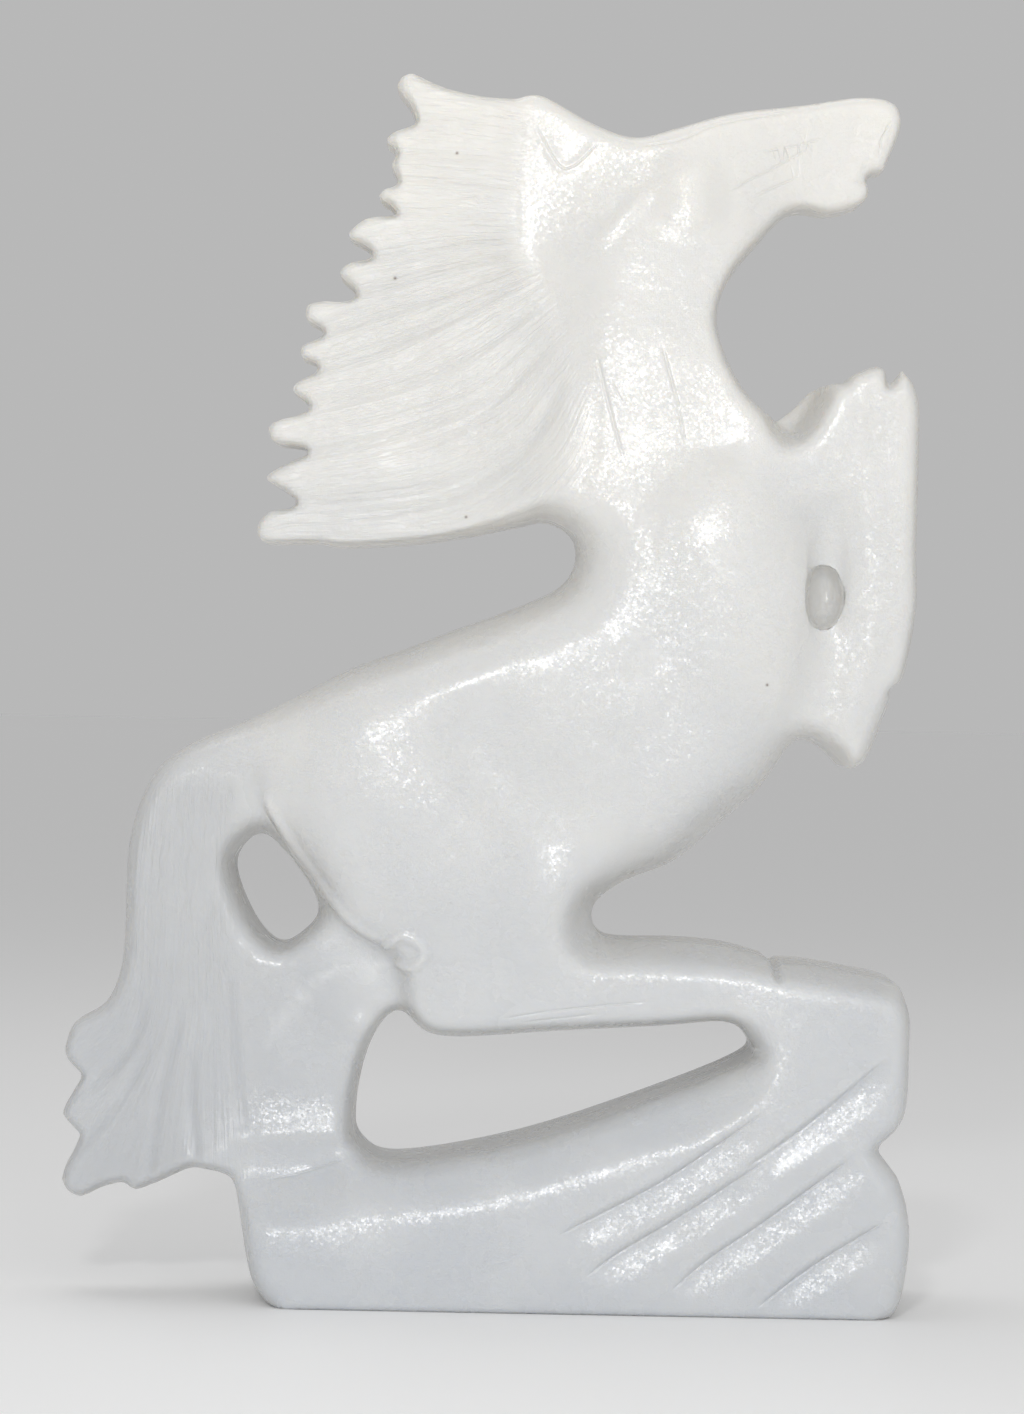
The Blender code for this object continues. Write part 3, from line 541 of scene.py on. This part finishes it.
# %% [markdown]
# ## From field to surface
# Surface nets put one vertex in each cell that the surface crosses, at the mean
# of the crossings on the cell's edges, and one quad around each grid edge whose
# ends differ. The mesh is closed, even and free of the stair steps of voxels.

# %% Surface nets, as whole arrays
CORNERS = np.array([(i, j, k) for i in (0, 1) for j in (0, 1) for k in (0, 1)])
EDGES = [(a, b) for a in range(8) for b in range(a + 1, 8)
         if np.abs(CORNERS[a] - CORNERS[b]).sum() == 1]


def surface_nets(values):
    """Vertex: mean of edge points where the value is 0. Quad: round each crossing edge."""
    inside = values < 0.0
    shape = np.array(values.shape) - 1
    count = np.zeros(shape, np.int8)
    for i, j, k in CORNERS:
        count += inside[i:i + shape[0], j:j + shape[1], k:k + shape[2]]
    cells = np.argwhere((count > 0) & (count < 8))
    number = np.full(shape, -1, np.int64)
    number[tuple(cells.T)] = np.arange(len(cells))
    at_corner = [values[tuple((cells + corner).T)] for corner in CORNERS]
    total = np.zeros((len(cells), 3))
    crossings = np.zeros(len(cells))
    for a, b in EDGES:
        low, high = at_corner[a], at_corner[b]
        crosses = (low < 0.0) != (high < 0.0)
        share = np.where(crosses, low / np.where(crosses, low - high, 1.0), 0.0)
        spot = CORNERS[a] + share[:, None] * (CORNERS[b] - CORNERS[a])
        total += np.where(crosses[:, None], spot, 0.0)
        crossings += crosses
    spots = cells + total / crossings[:, None]
    quads = []
    step = np.eye(3, dtype=int)
    for axis in range(3):
        one, two = [other for other in range(3) if other != axis]
        ahead = np.moveaxis(inside, axis, 0)
        changed = np.moveaxis(ahead[1:] != ahead[:-1], 0, axis)
        edge = np.argwhere(changed)
        edge = edge[(edge[:, one] > 0) & (edge[:, two] > 0)]
        ring = [edge - step[one] - step[two], edge - step[two], edge, edge - step[one]]
        quad = np.stack([number[tuple(cell.T)] for cell in ring], axis=1)
        leaving = inside[tuple(edge.T)]
        flip = leaving if axis != 1 else ~leaving
        quad[~flip] = quad[~flip][:, ::-1]
        quads.append(quad)
    return spots, np.vstack(quads)


spots, quads = surface_nets(field)
points = np.array([xs[0], ys[0], zs[0]]) + spots * CELL
print("vertices", len(points), "quads", len(quads))

# %% [markdown]
# ## From surface to mesh
# A light smoothing moves each vertex half way to the mean of its neighbours. It
# takes out the last trace of the grid, as sandpaper takes out the saw's marks.

# %% Put the surface in a mesh and smooth it lightly
def stone_mesh(name, vertices, faces):
    """A mesh from whole arrays of vertices and quads."""
    mesh = bpy.data.meshes.new(name)
    mesh.vertices.add(len(vertices))
    mesh.vertices.foreach_set("co", vertices.ravel())
    mesh.loops.add(faces.size)
    mesh.loops.foreach_set("vertex_index", faces.ravel().astype(np.int32))
    mesh.polygons.add(len(faces))
    mesh.polygons.foreach_set("loop_start", np.arange(0, faces.size, 4, dtype=np.int32))
    mesh.update(calc_edges=True)
    mesh.validate()
    return mesh


def neighbour_mean(vertices, faces):
    """Mean of each vertex's neighbours along the quads' sides."""
    pairs = np.vstack([faces[:, [k, (k + 1) % 4]] for k in range(4)])
    total = np.zeros_like(vertices)
    for column in range(vertices.shape[1]):
        total[:, column] = np.bincount(pairs[:, 0], vertices[pairs[:, 1], column], len(vertices))
    return total / np.bincount(pairs[:, 0], minlength=len(vertices))[:, None]


def vertex_normals(mesh):
    """One unit vector per vertex."""
    normals = np.empty(len(mesh.vertices) * 3)
    mesh.vertices.foreach_get("normal", normals)
    return normals.reshape(-1, 3)


SMOOTH_PASSES = 2
FOOT_LAYER = 0.3 * CELL
for _ in range(SMOOTH_PASSES):
    foot = points[:, 2] < FOOT_LAYER
    relaxed = points + 0.5 * (neighbour_mean(points, quads) - points)
    relaxed[foot] = points[foot]
    points = relaxed
mesh = stone_mesh("horse", points, quads)
normals = vertex_normals(mesh)
print("faces out", bool((normals * (points - points.mean(0))).sum() > 0))

# %% [markdown]
# ## Carving the marks
# Each vertex goes in along its own normal by the depth of the marks above it, so
# both faces are carved alike. The foot stays flat on the floor.

# %% Cut the marks along the normals
FOOT_EDGE = 2 * MM
across, up = points[:, 0], points[:, 2]
cut = sum(mark_depth(kind, line, across, up) for kind, line in MARKS)
standing = np.clip(up / FOOT_EDGE, 0.0, 1.0)
points = points - (cut * standing)[:, None] * normals
points[:, 2] = np.maximum(points[:, 2], 0.0)
mesh.vertices.foreach_set("co", points.ravel())
mesh.update()
mesh.shade_smooth()
horse = bpy.data.objects.new("horse", mesh)
bpy.context.scene.collection.objects.link(horse)
print("size", np.round(points.max(0) - points.min(0), 4))

# %% [markdown]
# ## Triangles where they count
# The net is as fine on smooth stone as in the mane. Decimate takes triangles away
# where they change the shape least, so the carved places keep theirs.

# %% Spend the triangles where the stone is carved
TRIANGLES = 195_000
fewer = horse.modifiers.new("fewer on smooth stone", "DECIMATE")
fewer.ratio = TRIANGLES / (2 * len(quads))
fewer.use_collapse_triangulate = True
print("share of triangles kept", round(fewer.ratio, 3))

# %% [markdown]
# ## Finer than the mesh
# Hair lines and scratched details are thinner than a cell. They are kept as smooth
# numbers on the vertices, which the shader turns into fine relief: the place
# across the strands, and the signed distance to the nearest scratched line.

# %% Strands of the mane and the tail
TAIL_GUIDES = [
    [(140, 780), (128, 900), (124, 960), (100, 1010), (60, 1050)],
    [(158, 780), (147, 900), (143, 980), (125, 1040), (66, 1110)],
    [(176, 780), (165, 900), (160, 1000), (140, 1060), (66, 1170)],
    [(194, 780), (184, 900), (180, 1000), (165, 1080), (138, 1196)],
    [(212, 780), (204, 900), (205, 1000), (200, 1080), (195, 1190)],
    [(230, 780), (226, 900), (232, 1000), (238, 1080), (245, 1190)],
]
# The hair lies on the right of these lines, followed from the top down
MANE_BORDER = [(524, 92), (516, 170), (514, 250), (545, 300), (572, 360), (582, 430), (560, 545)]
TAIL_BORDER = [(262, 740), (236, 800), (232, 900), (236, 1000), (244, 1090), (248, 1200)]
LEAST_GAP = 2 * MM


def guide(line):
    """A smooth line on the near face."""
    return smooth_stroke([place_on_form(x, y, 0) for x, y in line], LINE_STEPS)


def across_strands(guides):
    """k + way past line k / gap between lines k and k + 1; it counts on outside them."""
    ways = np.array([follow(guide(line), across, up)[0] for line in guides])
    lower = np.clip((ways > 0.0).sum(0) - 1, 0, len(guides) - 2)
    index = np.arange(len(across))
    past, ahead = ways[lower, index], -ways[lower + 1, index]
    return lower + past / np.maximum(past + ahead, LEAST_GAP)


def beside(line, width):
    """1 on the right of a line, 0 on its left, smooth over the width."""
    way = follow(guide(line), across, up)[0]
    share = np.clip(0.5 - way / width, 0.0, 1.0)
    return share * share * (3.0 - 2.0 * share)


mane_across = across_strands(MANE_GROOVES)
tail_across = across_strands(TAIL_GUIDES)
print("strands", np.round([mane_across.min(), mane_across.max()], 1))

# %% [markdown]
# ## Scratched lines
# The carver drew fine lines on the face, the neck, the leg and the base. Only the
# way to the nearest line is stored. Lines that lie close together are in different
# sets, because a vertex holds the way to one line of each set.

# %% Scratched lines in three sets
SCRATCHES = [
    [[(757, 152), (790, 147), (822, 139)], [(753, 198), (775, 187), (801, 175)],
     [(895, 118), (882, 136), (879, 159)], [(502, 1019), (560, 1010), (645, 1002)],
     BASE_GROOVES[1], BASE_GROOVES[3], [(264, 1183), (300, 1176), (345, 1160)], EAR],
    [[(728, 192), (751, 180), (812, 147)], [(640, 146), (680, 140), (720, 124), (790, 112)],
     [(870, 185), (852, 180)], [(520, 1023), (600, 1014)],
     [(671, 1291), (710, 1259), (765, 1222), (850, 1160)], BASE_GROOVES[0],
     [(262, 808), (273, 826), (300, 872), (324, 904)], [(611, 381), (622, 401)]],
    [[(662, 344), (676, 400), (686, 446)], [(597, 356), (610, 410), (623, 456)],
     [(742, 1171), (802, 1130), (885, 1061)], [(778, 955), (785, 985)]],
]
VEIN = [(395, 965), (350, 967), (321, 979), (290, 1010), (262, 1050)]
SCRATCH_FADE = 3 * MM
SCRATCH_REACH_MM = 2.6
AFAR_MM = 9.0
VEIN_WIDTH = 0.8 * MM
VEIN_FADE = 4 * MM


def nearest_line(lines):
    """Signed way to the nearest line in mm, and 1 beside it fading to 0 at ends and afar."""
    nearest, share = np.full(len(across), AFAR_MM), np.zeros(len(across))
    for line in lines:
        way, to_end, beyond = follow(guide(line), across, up)
        way, beyond = way / MM, beyond / MM
        closer = np.hypot(way, beyond) < np.abs(nearest)
        fade = np.clip(to_end / SCRATCH_FADE, 0.0, 1.0)
        fade = fade * np.clip(SCRATCH_REACH_MM - np.abs(way), 0.0, 1.0)
        nearest[closer] = way[closer]
        share[closer] = fade[closer]
    return nearest, share


scratch_ways, scratch_shares = zip(*[nearest_line(lines) for lines in SCRATCHES])
vein_way, vein_end, vein_beyond = follow(guide(VEIN), across, up)
vein = np.exp(-(np.hypot(vein_way, vein_beyond) / VEIN_WIDTH) ** 2)
vein *= np.clip(vein_end / VEIN_FADE, 0, 1)
print("scratched lines", sum(len(lines) for lines in SCRATCHES))

# %% [markdown]
# ## Numbers for the shader
# Walls get a painted beige shade, thin stone low down a painted grey shade and the
# pocket a painted darker shade, and a pale vein crosses the web behind the hock.
# The mane ends above the tail, so the same numbers for the strands serve both, and
# the shader has half the work.

# %% Store the numbers on the vertices
FACING_PASSES = 3
facing = np.abs(vertex_normals(mesh)[:, 1])
for _ in range(FACING_PASSES):
    facing = 0.5 * facing + 0.5 * neighbour_mean(facing[:, None], quads)[:, 0]


def store(name, *columns):
    """One vector attribute of up to three numbers per vertex."""
    data = np.zeros((len(points), 3))
    for column, values in enumerate(columns):
        data[:, column] = values
    attribute = mesh.attributes.new(name, "FLOAT_VECTOR", "POINT")
    attribute.data.foreach_set("vector", data.ravel())


def ramp(values, start, width):
    """0 up to the start, 1 from start + width on, straight between; a width below 0 turns it."""
    return np.clip((values - start) / width, 0.0, 1.0)


# Where hair and tail begin and end, and how fast
MANE_FOOT = place(EYE_X, 560)[1]
TAIL_TOP = place(EYE_X, 770)[1]
MANE_ROOT_X = place(520, 300)[0]
# Coarse and fine hair: strands per groove in the mane and in the tail; length of a wave
FINENESS = [(4.0, 5.0), (15.0, 16.0)]
STRAND_SPAN = 50 * MM
# Half thickness and height below which the stone counts as thin, and is given painted grey shade
THIN_HALF = 25 * MM
THIN_HEIGHT = 160 * MM

face = ramp(facing, 0.55, 0.35)
mane_on = beside(MANE_BORDER, 9 * MM) * face * ramp(up, MANE_FOOT, 3 * MM)
tail_on = beside(TAIL_BORDER, 5 * MM) * face * ramp(up, TAIL_TOP, -6 * MM)
# Painted shade: thin stone low down, the tail and the web, is greyed in the colour
thin_shade = ramp(blend_forms(across, up)[0], THIN_HALF, -6 * MM) * ramp(up, THIN_HEIGHT, -30 * MM)
# Painted shade: the floor of the pocket is darkened in the colour
pocket_shade = pocket_share(POCKETS[0], across, up) * (facing > 0.4)
in_mane = up > (MANE_FOOT + TAIL_TOP) / 2
coarse, fine = (np.where(in_mane, mane_across * in_mane_fine, tail_across * in_tail_fine)
                for in_mane_fine, in_tail_fine in FINENESS)
store("hair", coarse, fine, np.where(in_mane, MANE_ROOT_X - across, up) / STRAND_SPAN)
store("hair_and_pocket_shade", mane_on, tail_on, pocket_shade)
store("scratch", *scratch_ways)
store("scratch_share", *scratch_shares)
# The first number, how far a surface turns from the front, sets the painted beige shade of the walls
store("place", 1.0 - facing, vein, thin_shade)
print("share of mane", round(float(mane_on.mean()), 3), "of tail", round(float(tail_on.mean()), 3))

# %% [markdown]
# ## The stone
# White marble is a mass of clear grains. Light goes a few millimetres in, so the
# shading is soft and thin places look warmer. The polish follows each grain a
# little differently, which breaks every highlight into sparkles.

# %% Sockets that can be calculated with
class Value:
    """A shader socket; arithmetic on it adds Math nodes."""

    def __init__(self, tree, socket):
        self.tree = tree
        self.socket = socket

    def math(self, operation, *others):
        """A Math node on this value and the others."""
        inputs = dict(enumerate((self,) + others))
        return add(self.tree, "ShaderNodeMath", {"operation": operation}, inputs)

    def output(self, name):
        """Another output of the same node."""
        return Value(self.tree, self.socket.node.outputs[name])

    def __add__(self, other):
        return self.math("ADD", other)

    def __mul__(self, other):
        return self.math("MULTIPLY", other)

    def __sub__(self, other):
        return self.math("SUBTRACT", other)

    def __truediv__(self, other):
        return self.math("DIVIDE", other)

    def __rsub__(self, other):
        return (self * -1.0) + other

    def __neg__(self):
        return self * -1.0

    __radd__ = __add__
    __rmul__ = __mul__

    def clamp(self):
        """Held between 0 and 1."""
        return self.math("MAXIMUM", 0.0).math("MINIMUM", 1.0)

    def bell(self):
        """exp(-value * value)"""
        return (-(self * self)).math("EXPONENT")


def plug(tree, slot, value):
    """Link a Value, or set a plain number or colour."""
    if isinstance(value, Value):
        tree.links.new(value.socket, slot)
    else:
        slot.default_value = value


def add(tree, kind, settings, inputs, output=0):
    """Any other node: its settings first, then its sockets."""
    node = tree.nodes.new(kind)
    for name, value in settings.items():
        setattr(node, name, value)
    for name, value in inputs.items():
        plug(tree, node.inputs[name], value)
    return Value(tree, node.outputs[output])


def mix(tree, share, first, second):
    """Colour between first and second; a Mix node has its colours on sockets 6, 7 and 2."""
    return add(tree, "ShaderNodeMix", {"data_type": "RGBA"}, {0: share, 6: first, 7: second}, 2)


def parts(tree, vector):
    """The three numbers of a vector."""
    split = add(tree, "ShaderNodeSeparateXYZ", {}, {0: vector})
    return [split.output(k) for k in range(3)]


print("methods", [name for name in vars(Value) if not name.startswith("__")])

# %% [markdown]
# ## What the material reads
# All patterns are measured from the place of a point on the stone, or from the
# numbers on the vertices, so they stay where they are when the piece is moved.

# %% A new material and its sources
stone = bpy.data.materials.new("stone")
stone.use_nodes = True
tree = stone.node_tree
shader = tree.nodes["Principled BSDF"]
spot = add(tree, "ShaderNodeTexCoord", {}, {}, "Object")
_, toward, height = parts(tree, spot)
STRETCH = 1.5


def attribute(name):
    """The three numbers stored on the vertices under a name."""
    return parts(tree, add(tree, "ShaderNodeAttribute", {"attribute_name": name}, {}, "Vector"))


def noise(vector, scale, detail, roughness=0.5):
    """Cloudy noise, about 0 to 1."""
    return add(tree, "ShaderNodeTexNoise", {},
               {"Vector": vector, "Scale": scale, "Detail": detail, "Roughness": roughness})


def strands(u, v):
    """Noise drawn out along the strands."""
    vector = add(tree, "ShaderNodeCombineXYZ", {}, {0: u, 1: v * STRETCH})
    return noise(vector, 1.0, 3.0, 0.6)


def vectors(operation, first, second, output="Vector"):
    """A Vector Math node on two vectors."""
    return add(tree, "ShaderNodeVectorMath", {"operation": operation},
               {0: first, 1: second}, output)


def scaled(vector, factor):
    """A vector times a number."""
    return add(tree, "ShaderNodeVectorMath", {"operation": "SCALE"}, {0: vector, "Scale": factor})


coarse_u, fine_u, hair_v = attribute("hair")
# The third number is the share of painted shade in the pocket
mane_mask, tail_mask, pocket_shade_mask = attribute("hair_and_pocket_shade")
scratch_way = attribute("scratch")
scratch_mask = attribute("scratch_share")
# wall is the share of painted beige shade; the thin share is the share of painted grey shade
wall, vein_mask, thin_shade_mask = attribute("place")
print("nodes", len(tree.nodes))

# %% [markdown]
# ## Relief
# The relief is a sum in millimetres: waves left by the polishing, crystal grains
# that each lean their own way, the hair of mane and tail, and the scratched lines.
# Each grain is a cell of a Voronoi pattern. Its random colour, less a half, is its
# tilt, and the tilt times the way from the grain's middle is its height.

# %% Grain, waves, hair and scratches
GRAINS_PER_M = 1700.0
GRAIN_TILT = 0.26
# Relief of the hair: place across, height in the mane and in the tail
HAIR = [(coarse_u, 0.9, 0.5), (fine_u, 0.22, 0.16)]
# Relief of the polish: noise scale, height
WAVES = [(70.0, 0.5), (260.0, 0.12)]
SCRATCH_WIDTHS = (0.3, 0.3, 0.4)
SCRATCH_DEPTH = 0.2
grain = add(tree, "ShaderNodeTexVoronoi", {}, {"Vector": spot, "Scale": GRAINS_PER_M})
from_middle = vectors("SUBTRACT", scaled(spot, GRAINS_PER_M),
                      scaled(grain.output("Position"), GRAINS_PER_M))
tilt = vectors("SUBTRACT", grain.output("Color"), (0.5, 0.5, 0.5))
facets = vectors("DOT_PRODUCT", tilt, from_middle, "Value")
patches = noise(spot, 90.0, 3.0)
relief_mm = facets * (GRAIN_TILT / (GRAINS_PER_M * MM)) * (patches * 1.4 - 0.2)
for scale, high in WAVES:
    relief_mm = relief_mm + noise(spot, scale, 2.0) * high
for u, mane_high, tail_high in HAIR:
    relief_mm = relief_mm + strands(u, hair_v) * (mane_mask * mane_high + tail_mask * tail_high)
for way, mask, width in zip(scratch_way, scratch_mask, SCRATCH_WIDTHS):
    relief_mm = relief_mm - (way / width).bell() * mask * SCRATCH_DEPTH
bump = add(tree, "ShaderNodeBump", {}, {"Height": relief_mm, "Strength": 1.0, "Distance": MM})
print("nodes with relief", len(tree.nodes))

# %% [markdown]
# ## Colour and polish
# The colour is warm at the head and cooler and darker at the base, with clouds in it;
# the warm and cool is the stone's tone, the darkening at the base is painted shade.
# Over it come, one after the other, painted grey shade on thin stone low down, pale
# clouds, a vein, painted beige shade on the walls, painted shade in the pocket and
# four brown specks.

# %% Colours, and the finished shader
# The cool colour of the base is the stone's tone and also darker, as painted shade where less light
# reaches
COOL_AND_SHADED = (0.60, 0.62, 0.645, 1.0)
WARM = (0.84, 0.825, 0.785, 1.0)
PALE = (0.86, 0.87, 0.87, 1.0)
# Painted shade: beige on walls that turn away from the light
WALL_SHADE_BEIGE = (0.68, 0.635, 0.55, 1.0)
# Painted shade: grey for thin stone low down
THIN_SHADE_GREY = (0.50, 0.515, 0.535, 1.0)
# Painted shade: the darker floor of the pocket
POCKET_SHADE = (0.48, 0.46, 0.42, 1.0)
BROWN = (0.16, 0.11, 0.07, 1.0)
# Specks on the near face: x, y, radius in mm
SPECKS = [(457, 153, 0.36), (395, 278, 0.4), (767, 685, 0.34), (466, 517, 0.33)]
clouds = (noise(spot, 28.0, 4.0) - 0.5) * 0.6
pale_clouds = ((noise(spot, 45.0, 4.0) - 0.5) * 2.0).clamp()
side_view = vectors("MULTIPLY", spot, (1, 0, 1))
near_face = (toward * (-1.0 / MM)).clamp()
# Warm at the top to cool and darker at the base: stone tone plus painted shade towards the base
colour = mix(tree, (height / HEIGHT + clouds).clamp(), COOL_AND_SHADED, WARM)
# Painted shade layers: grey on thin stone low down, beige on the walls, darker in the pocket
LAYERS = [(thin_shade_mask * 0.5, THIN_SHADE_GREY), (pale_clouds * 0.3, PALE), (vein_mask * 0.4, PALE),
          (((wall - 0.25) * 0.75).clamp() * 0.5, WALL_SHADE_BEIGE), ((pocket_shade_mask * 1.5).clamp() * 0.35, POCKET_SHADE)]
for x, y, radius in SPECKS:
    speck_x, speck_z = place_on_form(x, y, 0)
    away = vectors("DISTANCE", side_view, (speck_x, 0.0, speck_z), "Value")
    LAYERS.append(((away / (radius * MM)).bell() * near_face * 0.8, BROWN))
for share, tone in LAYERS:
    colour = mix(tree, share, colour, tone)
plug(tree, shader.inputs["Base Color"], colour)
plug(tree, shader.inputs["Roughness"], 0.2 + patches * 0.14 + (mane_mask + tail_mask) * 0.05)
plug(tree, shader.inputs["Normal"], bump)
CONSTANTS = {"Subsurface Weight": 0.55, "Subsurface Radius": (1.0, 0.86, 0.66),
             "Subsurface Scale": 4.5 * MM, "IOR": 1.5}
for name, value in CONSTANTS.items():
    shader.inputs[name].default_value = value
mesh.materials.append(stone)
print("nodes in all", len(tree.nodes))

# %% [markdown]
# ## Camera and studio
# The camera stands where the grid was drawn from. The floor is pale and so wide
# that far off it takes nearly the tone of the sky, and no horizon shows.

# %% Camera and floor
FLOOR_REACH = 40.0
FLOOR_TONE = (0.99, 0.99, 0.99, 1.0)
eye_x, eye_z = place(EYE_X, EYE_Y)
camera = bpy.data.objects.new("camera", bpy.data.cameras.new("camera"))
camera.matrix_world = (Matrix.Translation((eye_x, -VIEW_DISTANCE, eye_z))
                       @ Matrix.Rotation(pi / 2, 4, "X") @ Matrix.Rotation(GRID_TILT, 4, "Z"))
camera.data.sensor_fit = "HORIZONTAL"
camera.data.angle = 2 * atan(EYE_X * UNIT / VIEW_DISTANCE)
bpy.context.scene.collection.objects.link(camera)
bpy.context.scene.camera = camera

SQUARE = [(-1, -1), (1, -1), (1, 1), (-1, 1)]
floor_mesh = bpy.data.meshes.new("floor")
floor_mesh.from_pydata([(FLOOR_REACH * x, FLOOR_REACH * y, 0) for x, y in SQUARE], [], [(0, 1, 2, 3)])
floor = bpy.data.objects.new("floor", floor_mesh)
bpy.context.scene.collection.objects.link(floor)
pale = bpy.data.materials.new("pale_floor")
pale.use_nodes = True
pale.node_tree.nodes["Principled BSDF"].inputs["Base Color"].default_value = FLOOR_TONE
floor_mesh.materials.append(pale)
print("angle of view", round(camera.data.angle, 3))

# %% [markdown]
# ## Light
# A small lamp close to the camera gives the sparkle. A wide one beside it, one
# above and an even grey sky give the soft light.

# %% Lamps and world
# Lamps: name, place, power (W), size (m)
LAMPS = [("key", (-0.1, -1.15, 0.46), 3.4, 0.08), ("fill", (0.3, -1.5, 0.8), 5.5, 1.2),
         ("top", (-0.2, 0.3, 1.3), 3.0, 0.9)]
LIT = Vector((0, 0, HEIGHT / 2))
SKY_TONE = (0.48, 0.48, 0.48, 1.0)
for name, where, watts, size in LAMPS:
    lamp = bpy.data.lights.new(name, "AREA")
    lamp.energy = watts
    lamp.size = size
    holder = bpy.data.objects.new(name, lamp)
    holder.location = where
    holder.rotation_euler = (LIT - Vector(where)).to_track_quat("-Z", "Y").to_euler()
    bpy.context.scene.collection.objects.link(holder)
world = bpy.data.worlds.new("world")
world.use_nodes = True
world.node_tree.nodes["Background"].inputs["Color"].default_value = SKY_TONE
bpy.context.scene.world = world
bpy.context.scene.view_settings.view_transform = "Standard"
print("lamps", len(LAMPS))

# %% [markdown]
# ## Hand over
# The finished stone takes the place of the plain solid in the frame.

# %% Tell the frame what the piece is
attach(horse, "root")
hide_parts(STONE_NODE)
